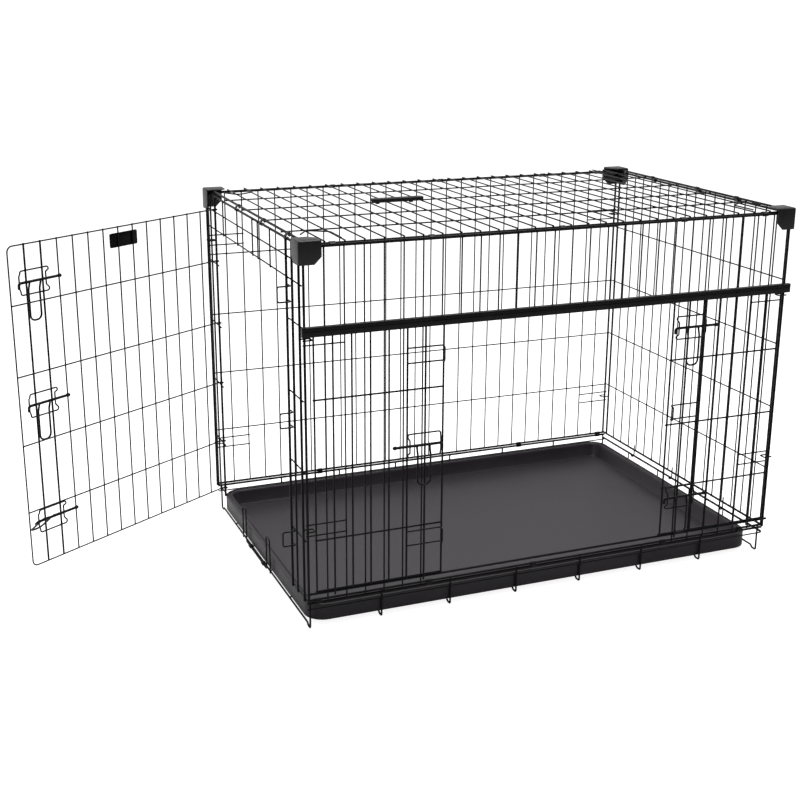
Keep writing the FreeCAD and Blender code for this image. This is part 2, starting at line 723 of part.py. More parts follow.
def build_clips():
    along = Vector(1, 0, 0)

    def mid_bays(bays):
        return [long_upright(k + 0.5) for k in bays]

    low = []
    high = []
    for side, low_bays, top_bays in ((-1, (0, 6, 12, 20, 25), (1, 6, 13, 20, 25)),
                                     (1, (6, 20, 26), (7, 14, 21, 25))):
        low += ring_clip(Vector(0, side * lip_y, panel_foot), Vector(0, side * lip_y, lip_height),
                         along, frame_wire, mid_bays(low_bays))
        high += ring_clip(Vector(0, side * lip_y, frame_height),
                          Vector(0, side * top_edge_y, top_edge_z), along, frame_wire,
                          mid_bays(top_bays))
    save("floor_clips", low)
    save("top_clips", high)
    left_places = [-half_width + y for y in (102.0, 265.0, 453.0)]
    right_places = [-end_post_y + (k + 0.5) * bay_wide for k in (4, 8, 13)]
    cross_z = top_plane + (frame_wire + weld_gap) / 2
    hooks = []
    for sx, places in ((-1, left_places), (1, right_places)):
        hooks += ring_clip(Vector(sx * end_lip_x, 0, frame_height),
                           Vector(sx * top_reach, 0, cross_z), Vector(0, 1, 0), frame_wire,
                           places)
    save("end_top_clips", hooks)


def build_hooks():
    """Hooks of the end panels, through the slots and round the corner posts."""
    turn_in = half_length - 14.0
    outside = post_y + (frame_wire + mesh_wire) / 2 + running_gap
    heights = {(-1, -1): front_slots_left, (1, -1): front_slots_right,
               (-1, 1): back_slots, (1, 1): back_slots}
    hooks = []
    for (sx, sy), levels in heights.items():
        for w in levels:
            path = [Vector(sx * (end_weld - weld_gap), sy * end_post_y, w),
                    Vector(sx * turn_in, sy * end_post_y, w),
                    Vector(sx * turn_in, sy * outside, w),
                    Vector(sx * (half_length + 5.0), sy * outside, w)]
            hooks.append(bent(path, 3.2, mesh_wire))
    save("end_panel_hooks", hooks)
    around = (frame_wire + mesh_wire) / 2 + 2 * weld_gap
    foot_hooks = []
    for bay in foot_hook_bays:
        y = -end_post_y + bay * bay_wide
        outer = end_lip_x + around
        centre = Vector(end_lip_x, y, end_lip_height)
        start = Vector(outer, y, panel_foot + 10.0)
        turn_start = centre + Vector(around, 0, 0)
        turn_end = centre - Vector(around, 0, 0)
        edges = [Part.LineSegment(start, turn_start).toShape(),
                 Part.Arc(turn_start, centre - UP * around, turn_end).toShape(),
                 Part.LineSegment(turn_end, turn_end + UP * 4.0).toShape()]
        foot_hooks.append(sweep(edges, mesh_wire))
    save("right_end_foot_hooks", foot_hooks)


def build_handle():
    wire_y = -top_edge_y + grip_row * top_row_pitch
    centre = top_cross(grip_bay)
    low = top_plane + mesh_wire + weld_gap + running_gap
    start = wire_y - grip_depth - grip_stand
    grip = Part.makeBox(grip_length, grip_depth, grip_height,
                        Vector(centre - grip_length / 2, start, low))
    grip = grip.makeFillet(2.4, grip.Edges)
    hub_radius = mesh_wire / 2 + running_gap + 2.4
    lug_width = 8.0
    pieces = grip
    for side in (-1, 1):
        x = centre + side * top_pitch - lug_width / 2
        outline = [Vector(x, wire_y + hub_radius, top_row_z),
                   Vector(x, wire_y + hub_radius, low + 1.0),
                   Vector(x, wire_y + 1.0, low + grip_height - 1.0),
                   Vector(x, start + grip_depth - 4.0, low + grip_height - 1.0),
                   Vector(x, start + grip_depth - 4.0, low + 0.8),
                   Vector(x, wire_y - hub_radius, low + 0.8),
                   Vector(x, wire_y - hub_radius, top_row_z)]
        arm = Part.Face(Part.makePolygon(outline + [outline[0]])).extrude(Vector(lug_width, 0, 0))
        hub = Part.makeCylinder(hub_radius, lug_width, Vector(x, wire_y, top_row_z),
                                Vector(1, 0, 0))
        pieces = pieces.fuse([arm, hub])
    bore = Part.makeCylinder(mesh_wire / 2 + weld_gap, 2 * top_pitch + 2 * lug_width,
                             Vector(centre - top_pitch - lug_width, wire_y, top_row_z),
                             Vector(1, 0, 0))
    save("carry_handle", [pieces.cut(bore).removeSplitter()])


build_back()
build_front()
build_right_end()
build_left_end()
build_door()
build_rail()
build_sliders()
build_latches()
build_floor()
build_tray()
build_tray_stop()
build_top()
build_guards()
build_clips()
build_hooks()
build_handle()
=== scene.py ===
import json
from math import ceil, cos, degrees, radians, sin, tan

import bmesh
import bpy
from mathutils import Matrix, Vector


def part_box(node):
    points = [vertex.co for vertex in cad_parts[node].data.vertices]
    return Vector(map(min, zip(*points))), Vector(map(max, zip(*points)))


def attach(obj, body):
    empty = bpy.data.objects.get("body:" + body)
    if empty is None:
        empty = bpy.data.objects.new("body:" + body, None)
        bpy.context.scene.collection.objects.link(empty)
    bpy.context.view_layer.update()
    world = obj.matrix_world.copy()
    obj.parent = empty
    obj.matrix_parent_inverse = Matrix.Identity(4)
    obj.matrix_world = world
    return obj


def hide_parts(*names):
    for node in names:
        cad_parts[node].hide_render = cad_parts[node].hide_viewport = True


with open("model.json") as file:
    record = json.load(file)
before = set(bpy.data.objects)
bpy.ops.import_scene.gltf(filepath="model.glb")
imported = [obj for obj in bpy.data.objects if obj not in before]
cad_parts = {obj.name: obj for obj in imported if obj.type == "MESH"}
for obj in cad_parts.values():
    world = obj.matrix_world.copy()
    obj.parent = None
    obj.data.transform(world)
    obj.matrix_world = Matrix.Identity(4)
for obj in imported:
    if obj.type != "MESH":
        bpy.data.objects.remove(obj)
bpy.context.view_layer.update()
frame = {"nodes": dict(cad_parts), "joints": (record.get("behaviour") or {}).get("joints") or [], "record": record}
record = frame["record"]
joints = {joint["name"]: joint for joint in frame["joints"]}
bodyOf = {node: body for body, nodes in record["behaviour"]["bodies"].items() for node in nodes}
up = Vector((0, 0, 1))
mm = 0.001
print("frame loaded:", len(frame["nodes"]), "nodes")


# selection and mesh helpers
def clearSelection():
    if bpy.context.object and bpy.context.object.mode != "OBJECT":
        bpy.ops.object.mode_set(mode="OBJECT")
    bpy.ops.object.select_all(action="DESELECT")


def selectOnly(thing):
    clearSelection()
    thing.select_set(True)
    bpy.context.view_layer.objects.active = thing


def editAll():
    bpy.ops.object.mode_set(mode="EDIT")
    bpy.ops.mesh.select_mode(type="VERT")      # face mode would drop a bare ring of edges
    bpy.ops.mesh.select_all(action="SELECT")


def pick(kind, test):
    # in edit mode: select the verts, edges or faces that pass the test, and nothing else
    bpy.ops.mesh.select_mode(type={"verts": "VERT", "edges": "EDGE", "faces": "FACE"}[kind])
    bpy.ops.mesh.select_all(action="DESELECT")
    mesh = bmesh.from_edit_mesh(bpy.context.object.data)
    mesh.normal_update()
    for element in getattr(mesh, kind):
        if test(element):
            element.select_set(True)
    mesh.select_flush_mode()
    bmesh.update_edit_mesh(bpy.context.object.data)


def edgeMiddle(edge):
    return (edge.verts[0].co + edge.verts[1].co) / 2


def edgeHeading(edge):
    return (edge.verts[1].co - edge.verts[0].co).normalized()


def applyModifier(kind, **settings):
    piece = bpy.context.object
    modifier = piece.modifiers.new(kind.title(), kind)
    for name, value in settings.items():
        setattr(modifier, name, value)
    bpy.ops.object.modifier_apply(modifier=modifier.name)


def placeInMesh(piece):
    selectOnly(piece)
    bpy.ops.object.transform_apply(location=True, rotation=True, scale=True)


def takeMesh(angle=40):
    # leave edit mode, shade, and hand over the mesh without its object
    piece = bpy.context.object
    if piece.mode != "OBJECT":
        bpy.ops.object.mode_set(mode="OBJECT")
    placeInMesh(piece)
    bpy.ops.object.shade_smooth_by_angle(angle=radians(angle))
    mesh = piece.data
    bpy.data.objects.remove(piece)
    return mesh


def copyMesh(mesh, matrix):
    twin = mesh.copy()
    twin.transform(matrix)
    if matrix.to_3x3().determinant() < 0:
        twin.flip_normals()
    return twin


def gather(meshes):
    whole = bmesh.new()
    for mesh in meshes:
        whole.from_mesh(mesh)
    made = bpy.data.meshes.new("gathered")
    whole.to_mesh(made)
    whole.free()
    return made


def finishPiece(name, meshes, nodes, look, angle=40):
    piece = bpy.data.objects.new(name, gather(meshes))
    piece.data.name = name
    bpy.context.scene.collection.objects.link(piece)
    selectOnly(piece)
    bpy.ops.object.shade_smooth_by_angle(angle=radians(angle))
    piece.data.materials.clear()
    piece.data.materials.append(looks[look])
    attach(piece, bodyOf[nodes[0]])
    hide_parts(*nodes)
    return piece


def partsOf(node):
    # the loose parts of a node, each as its lowest and highest corner and its points
    twin = bpy.data.objects.new("twin", frame["nodes"][node].data.copy())
    bpy.context.scene.collection.objects.link(twin)
    selectOnly(twin)
    editAll()
    bpy.ops.mesh.remove_doubles(threshold=0.02 * mm)     # neighbours lie 0.05 mm apart
    bpy.ops.mesh.separate(type="LOOSE")
    bpy.ops.object.mode_set(mode="OBJECT")
    parts = []
    for part in list(bpy.context.selected_objects):
        points = [vert.co.copy() for vert in part.data.vertices]
        low = Vector([min(point[i] for point in points) for i in range(3)])
        high = Vector([max(point[i] for point in points) for i in range(3)])
        parts.append((low, high, points))
        bpy.data.objects.remove(part)
    return sorted(parts, key=lambda part: tuple(round(value, 4) for value in part[0]))


def axesMatrix(along, across, out, origin):
    matrix = Matrix((along, across, out)).transposed().to_4x4()
    matrix.translation = origin
    return matrix


# finishes
def newSocket(group, name, way, kind="NodeSocketFloat", value=None):
    socket = group.interface.new_socket(name=name, in_out=way, socket_type=kind)
    if value is not None:
        socket.default_value = value
    return socket


def addNode(tree, kind, **settings):
    node = tree.nodes.new(kind)
    for name, value in settings.items():
        if name in node.inputs:
            node.inputs[name].default_value = value
        else:
            setattr(node, name, value)
    return node


def buildCoating():
    # tone, gloss and relief of a coated or moulded surface, in the piece's own coordinates
    group = bpy.data.node_groups.new("coating", "ShaderNodeTree")
    for name, value in (("Cloud Scale", 30.0), ("Grain Scale", 900.0), ("Gloss Low", 0.3),
                        ("Gloss High", 0.45), ("Grain Depth", 0.5)):
        newSocket(group, name, "INPUT", value=value)
    for name in ("Dark", "Light"):
        newSocket(group, name, "INPUT", "NodeSocketColor", (0.02, 0.02, 0.02, 1))
    newSocket(group, "Color", "OUTPUT", "NodeSocketColor")
    newSocket(group, "Roughness", "OUTPUT")
    newSocket(group, "Height", "OUTPUT")
    nodes, links = group.nodes, group.links
    given = nodes.new("NodeGroupInput")
    out = nodes.new("NodeGroupOutput")
    place = nodes.new("ShaderNodeTexCoord")
    cloud = addNode(group, "ShaderNodeTexNoise", Detail=4.0, Roughness=0.6)
    grain = addNode(group, "ShaderNodeTexNoise", Detail=2.0, Roughness=0.5)
    links.new(place.outputs["Object"], cloud.inputs["Vector"])
    links.new(place.outputs["Object"], grain.inputs["Vector"])
    links.new(given.outputs["Cloud Scale"], cloud.inputs["Scale"])
    links.new(given.outputs["Grain Scale"], grain.inputs["Scale"])
    spread = addNode(group, "ShaderNodeMapRange", **{"From Min": 0.35, "From Max": 0.65})
    links.new(cloud.outputs["Fac"], spread.inputs["Value"])
    tone = addNode(group, "ShaderNodeMix", data_type="RGBA")
    links.new(spread.outputs["Result"], tone.inputs["Factor"])
    links.new(given.outputs["Dark"], tone.inputs[6])
    links.new(given.outputs["Light"], tone.inputs[7])
    links.new(tone.outputs[2], out.inputs["Color"])
    gloss = addNode(group, "ShaderNodeMapRange")
    links.new(cloud.outputs["Fac"], gloss.inputs["Value"])
    links.new(given.outputs["Gloss Low"], gloss.inputs["To Min"])
    links.new(given.outputs["Gloss High"], gloss.inputs["To Max"])
    links.new(gloss.outputs["Result"], out.inputs["Roughness"])
    relief = addNode(group, "ShaderNodeMath", operation="MULTIPLY")
    links.new(grain.outputs["Fac"], relief.inputs[0])
    links.new(given.outputs["Grain Depth"], relief.inputs[1])
    links.new(relief.outputs["Value"], out.inputs["Height"])
    return group


def buildScuffs():
    # thin stretched marks, as handling and cleaning leave them
    group = bpy.data.node_groups.new("scuffs", "ShaderNodeTree")
    newSocket(group, "Scale", "INPUT", value=14.0)
    newSocket(group, "Cover", "INPUT", value=0.6)
    newSocket(group, "Mask", "OUTPUT")
    nodes, links = group.nodes, group.links
    given = nodes.new("NodeGroupInput")
    out = nodes.new("NodeGroupOutput")
    place = nodes.new("ShaderNodeTexCoord")
    stretch = nodes.new("ShaderNodeMapping")
    stretch.inputs["Rotation"].default_value = (0, 0, 0.5)
    stretch.inputs["Scale"].default_value = (1, 18, 6)
    streak = addNode(group, "ShaderNodeTexNoise", Detail=5.0, Roughness=0.7)
    links.new(place.outputs["Object"], stretch.inputs["Vector"])
    links.new(stretch.outputs["Vector"], streak.inputs["Vector"])
    links.new(given.outputs["Scale"], streak.inputs["Scale"])
    cut = addNode(group, "ShaderNodeMapRange", **{"From Max": 0.85})
    links.new(streak.outputs["Fac"], cut.inputs["Value"])
    links.new(given.outputs["Cover"], cut.inputs["From Min"])
    links.new(cut.outputs["Result"], out.inputs["Mask"])
    return group


coating = buildCoating()
scuffs = buildScuffs()

finishes = {
    "wire": {"dark": (0.0045, 0.0045, 0.005), "light": (0.0085, 0.0085, 0.009), "cloud": 45.0,
             "grain": 900.0, "gloss": (0.36, 0.52), "depth": 0.5, "bump": 0.0002, "specular": 0.16,
             "scuff": (0.035, 0.035, 0.037), "cover": 0.66, "marks": 26.0},
    "latch": {"dark": (0.005, 0.005, 0.0055), "light": (0.010, 0.010, 0.011), "cloud": 60.0,
              "grain": 1100.0, "gloss": (0.26, 0.42), "depth": 0.5, "bump": 0.0002,
              "specular": 0.2, "scuff": (0.06, 0.06, 0.062), "cover": 0.6,
              "marks": 40.0},
    "clip": {"dark": (0.006, 0.006, 0.0065), "light": (0.012, 0.012, 0.013), "cloud": 90.0,
             "grain": 1300.0, "gloss": (0.34, 0.5), "depth": 0.4, "bump": 0.0002,
             "specular": 0.2, "scuff": (0.09, 0.09, 0.092), "cover": 0.6,
             "marks": 55.0},
    "rail": {"dark": (0.006, 0.006, 0.0065), "light": (0.011, 0.011, 0.012), "cloud": 22.0,
             "grain": 1500.0, "gloss": (0.36, 0.52), "depth": 0.7, "bump": 0.00025,
             "specular": 0.22, "scuff": (0.045, 0.045, 0.047), "cover": 0.64,
             "marks": 18.0},
    "guard": {"dark": (0.006, 0.006, 0.0075), "light": (0.010, 0.010, 0.012), "cloud": 55.0,
              "grain": 1400.0, "gloss": (0.36, 0.48), "depth": 1.0, "bump": 0.0003,
              "specular": 0.45, "scuff": (0.05, 0.05, 0.052), "cover": 0.68,
              "marks": 30.0},
    "tray": {"dark": (0.019, 0.0145, 0.0195), "light": (0.025, 0.0195, 0.0255), "cloud": 7.0,
             "grain": 750.0, "gloss": (0.36, 0.46), "depth": 1.0, "bump": 0.0003,
             "specular": 0.4, "scuff": (0.05, 0.045, 0.05), "cover": 0.68,
             "marks": 5.0},
    "grip": {"dark": (0.008, 0.008, 0.009), "light": (0.015, 0.015, 0.016), "cloud": 70.0,
             "grain": 1600.0, "gloss": (0.42, 0.58), "depth": 1.0, "bump": 0.0004,
             "specular": 0.25, "scuff": (0.04, 0.04, 0.042), "cover": 0.66,
             "marks": 30.0},
    "plate": {"dark": (0.002, 0.002, 0.0023), "light": (0.004, 0.004, 0.0044), "cloud": 60.0,
              "grain": 800.0, "gloss": (0.3, 0.4), "depth": 0.3, "bump": 0.0001,
              "specular": 0.1, "scuff": (0.03, 0.03, 0.031), "cover": 0.7,
              "marks": 24.0},
}


def buildFinish(name, look):
    material = bpy.data.materials.new(name + "Finish")
    material.use_nodes = True
    tree = material.node_tree
    tree.nodes.clear()
    surface = tree.nodes.new("ShaderNodeBsdfPrincipled")
    out = tree.nodes.new("ShaderNodeOutputMaterial")
    tree.links.new(surface.outputs["BSDF"], out.inputs["Surface"])
    surface.inputs["Specular IOR Level"].default_value = look["specular"]
    coat = tree.nodes.new("ShaderNodeGroup")
    coat.node_tree = coating
    for socket, value in (("Cloud Scale", look["cloud"]), ("Grain Scale", look["grain"]),
                          ("Gloss Low", look["gloss"][0]), ("Gloss High", look["gloss"][1]),
                          ("Grain Depth", look["depth"]), ("Dark", (*look["dark"], 1)),
                          ("Light", (*look["light"], 1))):
        coat.inputs[socket].default_value = value
    marks = tree.nodes.new("ShaderNodeGroup")
    marks.node_tree = scuffs
    marks.inputs["Scale"].default_value = look["marks"]
    marks.inputs["Cover"].default_value = look["cover"]
    worn = addNode(tree, "ShaderNodeMix", data_type="RGBA")
    worn.inputs[7].default_value = (*look["scuff"], 1)
    tree.links.new(marks.outputs["Mask"], worn.inputs["Factor"])
    tree.links.new(coat.outputs["Color"], worn.inputs[6])
    tree.links.new(worn.outputs[2], surface.inputs["Base Color"])
    tree.links.new(coat.outputs["Roughness"], surface.inputs["Roughness"])
    bump = addNode(tree, "ShaderNodeBump", Strength=0.6, Distance=look["bump"])
    tree.links.new(coat.outputs["Height"], bump.inputs["Height"])
    tree.links.new(bump.outputs["Normal"], surface.inputs["Normal"])
    return material


looks = {name: buildFinish(name, look) for name, look in finishes.items()}
print("finishes made:", len(looks))


# straight wires
wireSettings = {"sides": 14, "endRound": 0.3, "nuggetWide": 1.15, "nuggetThick": 0.55,
                "nuggetLeast": 0.35, "nuggetPole": 0.8, "weldReach": 0.25 * mm,
                "weldCross": 0.5, "weldSlack": 0.01, "bentOver": 8 * mm, "arcStep": 15}
rodMasters = {}


def straightWire(start, end, radius):
    length = (end - start).length
    key = (round(length, 5), round(radius, 5))
    if key not in rodMasters:
        clearSelection()
        bpy.ops.mesh.primitive_cylinder_add(vertices=wireSettings["sides"], radius=radius,
                                            depth=length)
        bpy.ops.object.mode_set(mode="EDIT")
        pick("edges", lambda edge: abs(edgeHeading(edge).z) < 0.5)   # the two cut ends
        bpy.ops.mesh.bevel(offset=radius * wireSettings["endRound"], segments=2,
                           affect="EDGES")
        rodMasters[key] = takeMesh()
    turn = (end - start).to_track_quat("Z", "Y").to_matrix().to_4x4()
    return copyMesh(rodMasters[key], Matrix.Translation((start + end) / 2) @ turn)


def wiresIn(node):
    wires = []
    for low, high, points in partsOf(node):
        size = high - low
        order = sorted(range(3), key=lambda i: size[i])
        if size[order[1]] > wireSettings["bentOver"]:
            continue                     # a bent one
        radius = size[order[1]] / 2
        middle = (low + high) / 2
        start, end = middle.copy(), middle.copy()
        start[order[2]], end[order[2]] = low[order[2]], high[order[2]]
        wires.append((start, end, radius))
    return wires


def makeNugget():
    clearSelection()
    bpy.ops.mesh.primitive_uv_sphere_add(segments=8, ring_count=6, radius=1)
    editAll()
    pick("verts", lambda vert: abs(vert.co.z) > 0.95)
    bpy.ops.transform.resize(value=(1, 1, wireSettings["nuggetPole"]))
    return takeMesh(180)


nugget = makeNugget()


def weldBetween(one, other):
    # the squeezed bead where two crossing wires were welded, or None
    startA, endA, radiusA = one
    startB, endB, radiusB = other
    runA, runB = endA - startA, endB - startB
    across = runA.normalized().cross(runB.normalized())
    if across.length < wireSettings["weldCross"]:
        return None
    gap = startB - startA
    apart = gap.dot(across)
    if abs(abs(apart) - radiusA - radiusB) > wireSettings["weldReach"]:
        return None
    shareA = gap.cross(runB).dot(across) / runA.cross(runB).dot(across)
    shareB = gap.cross(runA).dot(across) / runA.cross(runB).dot(across)
    slack = wireSettings["weldSlack"]
    if not all(-slack < share < 1 + slack for share in (shareA, shareB)):
        return None
    normal = across * (1 if apart > 0 else -1)
    thin = min(radiusA, radiusB)
    spot = startA + runA * min(max(shareA, 0), 1) + normal * radiusA
    room = min(min(share, 1 - share) * run.length
               for share, run in ((shareA, runA), (shareB, runB)))    # to the nearest wire end
    wide = min(thin * wireSettings["nuggetWide"], max(room, thin * wireSettings["nuggetLeast"]))
    size = Matrix.Diagonal((wide, wide, thin * wireSettings["nuggetThick"], 1))
    turn = normal.to_track_quat("Z", "Y").to_matrix().to_4x4()
    return copyMesh(nugget, Matrix.Translation(spot) @ turn @ size)


straightNodes = {
    "back_panel_frame": "backFrameWires", "back_panel_mesh": "backMeshWires",
    "front_panel_frame": "frontFrameWires", "front_upper_mesh": "frontUpperWires",
    "front_left_mesh": "frontLeftWires", "front_right_mesh": "frontRightWires",
    "right_end_frame": "rightEndFrameWires", "right_end_mesh": "rightEndMeshWires",
    "left_end_frame": "leftEndFrameWires", "left_end_ladders": "leftEndLadderWires",
    "left_end_header": "leftEndHeaderWires", "slider_guide": "sliderGuideWire",
    "floor_cross_wires": "floorCrossWires", "floor_runners": "floorRunnerWires",
    "top_panel_frame": "topFrameWires", "top_panel_mesh": "topMeshWires",
    "left_sliding_door": "leftSliderWires", "right_sliding_door": "rightSliderWires",
}


def buildStraightWires():
    wires = [(node, wire) for node in straightNodes for wire in wiresIn(node)]
    meshes = {node: [] for node in straightNodes}
    for node, wire in wires:
        meshes[node].append(straightWire(*wire))
    welds = 0
    for i, (nodeA, wireA) in enumerate(wires):
        for nodeB, wireB in wires[:i]:
            if bodyOf[nodeA] != bodyOf[nodeB]:
                continue
            bead = weldBetween(wireA, wireB)
            if bead:
                meshes[nodeA].append(bead)
                welds += 1
    for node, name in straightNodes.items():
        finishPiece(name, meshes[node], [node], "wire")
    print("straight wires:", len(wires), "welds:", welds)


buildStraightWires()


# bent wires
def beginWire(point, heading, radius):
    clearSelection()
    bpy.ops.mesh.primitive_circle_add(vertices=wireSettings["sides"], radius=radius,
                                      fill_type="NOTHING", location=point,
                                      rotation=heading.to_track_quat("Z", "Y").to_euler())
    bpy.ops.object.transform_apply(location=True, rotation=True, scale=True)
    editAll()


def runWire(step):
    if step.length > 1e-6:
        bpy.ops.mesh.extrude_region_move(TRANSFORM_OT_translate={"value": step})


def turnWire(centre, axis, angle):
    # spin counts the other way round its axis, so the angle is negative
    bpy.ops.mesh.spin(steps=max(3, ceil(angle / wireSettings["arcStep"])),
                      angle=-radians(angle), center=centre, axis=axis)


def endWire(radius, closed=False):
    bpy.ops.mesh.select_all(action="SELECT")
    bpy.ops.mesh.remove_doubles(threshold=1e-5)
    if not closed:
        bpy.ops.mesh.fill_holes(sides=0)
        bpy.ops.mesh.select_mode(type="FACE")
        bpy.ops.mesh.select_all(action="DESELECT")
        bpy.ops.mesh.select_face_by_sides(number=4, type="GREATER")
        bpy.ops.mesh.region_to_loop()
        bpy.ops.mesh.bevel(offset=radius * wireSettings["endRound"], segments=2,
                           affect="EDGES")
        bpy.ops.mesh.select_mode(type="VERT")
        bpy.ops.mesh.select_all(action="SELECT")
    bpy.ops.mesh.normals_make_consistent(inside=False)
    return takeMesh()


def followPath(points, bends):
    # straight runs joined by tangent bends, from the ring that is selected
    here = points[0]
    for i in range(1, len(points) - 1):
        before = (points[i] - points[i - 1]).normalized()
        after = (points[i + 1] - points[i]).normalized()
        angle = before.angle(after)
        back = bends[i - 1] * tan(angle / 2)
        arrive = points[i] - before * back
        runWire(arrive - here)
        inward = (after - before * before.dot(after)).normalized()
        turnWire(arrive + inward * bends[i - 1], before.cross(after), degrees(angle))
        here = points[i] + after * back
    runWire(points[-1] - here)


def bentWire(points, bends, radius, closed=False):
    points = [Vector(point) for point in points]
    if closed:
        middle = (points[0] + points[-1]) / 2
        points = [middle] + points + [middle]
    if not isinstance(bends, (list, tuple)):
        bends = [bends] * (len(points) - 2)
    beginWire(points[0], points[1] - points[0], radius)
    followPath(points, bends)
    return endWire(radius, closed)


# latches: six alike, each modelled once at the nose and copied to its place
latchSettings = {"boltRadius": 2.8 * mm, "bailRadius": 2.0 * mm, "loopRadius": 1.6 * mm,
                 "boltLength": 104 * mm, "noseDrop": 12 * mm, "noseBack": 50 * mm,
                 "bailFar": 54 * mm, "bailNear": 27 * mm, "bailDrop": 80 * mm,
                 "bailOut": 6.3 * mm, "bailLean": 18 * mm, "housingFar": 72 * mm,
                 "housingNear": 3 * mm, "housingHalf": 24 * mm, "pinch": 2 * mm,
                 "flat": -1.5 * mm, "over": 4.7 * mm, "housingBend": 4.5 * mm,
                 "stepBend": 2.6 * mm, "stepClear": 0.5 * mm, "stepBack": 6 * mm,
                 "noseBend": 1.8, "bailFoot": 1 * mm,
                 "bailBends": (8 * mm, 11 * mm, 11 * mm, 8 * mm), "beadSit": 1.6 * mm,
                 "beadSize": (3.2 * mm, 2.6 * mm, 2.6 * mm), "collarWall": 1.0 * mm,
                 "collarStart": 2 * mm, "collarLong": 5 * mm, "collarThin": 0.05 * mm,
                 "collarEdge": 0.25 * mm}


def makeHousing(s):
    # a closed loop whose two sides step out over the bolt
    half, wide, tight = s["housingHalf"], s["housingBend"], s["stepBend"]
    low, high = s["noseDrop"] + s["stepClear"], half - s["stepBack"]
    points, bends = [], []
    for edge, inward, way in ((-s["housingNear"], -s["pinch"], 1),
                              (-s["housingFar"], s["pinch"], -1)):
        for u, n, w, bend in ((edge, s["flat"], half, wide), (edge, s["flat"], high, tight),
                              (edge + inward, s["over"], low, tight),
                              (edge + inward, s["over"], -low, tight),
                              (edge, s["flat"], -high, tight), (edge, s["flat"], -half, wide)):
            points.append((u, n, way * w))
            bends.append(bend)
    return bentWire(points, bends, s["loopRadius"], closed=True)


def makeBolt(s):
    rod = bentWire([(-s["boltLength"], 0, 0), (0, 0, 0), (0, 0, -s["noseDrop"])],
                   s["boltRadius"] * s["noseBend"], s["boltRadius"])
    far, near, foot = -s["bailFar"], -s["bailNear"], s["bailFoot"]
    out, lean, drop = s["bailOut"], -s["bailLean"], -s["bailDrop"]
    bail = bentWire([(far, foot, -foot), (far, out, lean), (far, out, drop), (near, out, drop),
                     (near, out, lean), (near, foot, -foot)], s["bailBends"], s["bailRadius"])
    size = Matrix.Diagonal((*s["beadSize"], 1))
    beads = [copyMesh(nugget, Matrix.Translation((u, s["beadSit"], -s["beadSit"])) @ size)
             for u in (far, near)]                 # the bail's weld beads on the bolt
    return gather([rod, bail] + beads)


def makeCollar(s):
    clearSelection()
    bpy.ops.mesh.primitive_cylinder_add(vertices=24, radius=s["boltRadius"] + s["collarWall"],
                                        depth=s["collarLong"], end_fill_type="NOTHING")
    piece = bpy.context.object
    applyModifier("SOLIDIFY", thickness=s["collarWall"] - s["collarThin"], offset=-1)
    applyModifier("BEVEL", width=s["collarEdge"], segments=2, limit_method="ANGLE")
    start = -s["boltLength"] + s["collarStart"]
    piece.rotation_euler = (0, radians(90), 0)
    piece.location = (start + s["collarLong"] / 2, 0, 0)
    return takeMesh()


latchNames = {"door_lower": "doorLower", "door_middle": "doorMiddle", "door_upper": "doorUpper",
              "left_slider": "leftSlider", "right_slider_lower": "rightSliderLower",
              "right_slider_upper": "rightSliderUpper"}


def latchPlace(latch):
    # along the bolt to its nose, outwards from the door, and up
    along = Vector(joints[latch + "_latch_slide"]["axis"]).normalized()
    turn = joints[latch + "_latch_turn"]
    out = Vector(turn["axis"]).cross(-up).normalized()
    nose = Vector(turn["pos_m"]) + along * latchSettings["noseBack"]
    return axesMatrix(along, out, up, nose)


def hangingTurn(latch):
    # how far a bail stands out from hanging, read from where its joint's range starts
    low, high = joints[latch + "_latch_turn"]["range_deg"]
    return radians(-low) if low < 0 else 0.0


def buildLatches():
    housing = makeHousing(latchSettings)
    bolt = makeBolt(latchSettings)
    collar = makeCollar(latchSettings)
    for latch, name in latchNames.items():
        place = latchPlace(latch)
        swing = Matrix.Rotation(hangingTurn(latch), 4, "X")     # local x runs along the bolt
        finishPiece(name + "Housing", [copyMesh(housing, place)], [latch + "_latch_housing"],
                    "latch")
        finishPiece(name + "Bolt", [copyMesh(bolt, place @ swing)], [latch + "_latch_bolt"],
                    "latch")
        finishPiece(name + "Collar", [copyMesh(collar, place)], [latch + "_latch_collar"],
                    "latch")
    print("latches:", len(latchNames))


buildLatches()


# keepers that the bolts slide into
keeperSettings = {"radius": 1.6 * mm, "bend": 4 * mm}


def buildKeepers():
    r, bend = keeperSettings["radius"], keeperSettings["bend"]
    staples = []
    for low, high, points in partsOf("end_door_keepers"):
        foot, bar, lead = high.x - r, low.x + r, low.y + r
        top, bottom = high.z - r, low.z + r
        staples.append(bentWire([(foot, high.y, top), (foot, lead, top), (bar, lead, top),
                                 (bar, lead, bottom), (foot, lead, bottom),
                                 (foot, high.y, bottom)], bend, r))
    finishPiece("endDoorKeepers", staples, ["end_door_keepers"], "latch")
    for node, name, side in (("left_slider_keepers", "leftSliderKeepers", 1),
                             ("right_slider_keeper", "rightSliderKeeper", -1)):
        staples = []
        for low, high, points in partsOf(node):
            foot, bar = high.y - r, low.y + r
            lead, tail = (high.x - r, low.x) if side > 0 else (low.x + r, high.x)
            top, bottom = high.z - r, low.z + r
            staples.append(bentWire([(tail, foot, top), (lead, foot, top), (lead, bar, top),
                                     (lead, bar, bottom), (lead, foot, bottom),
                                     (tail, foot, bottom)], bend, r))
        finishPiece(name, staples, [node], "latch")
    print("keepers done")


buildKeepers()


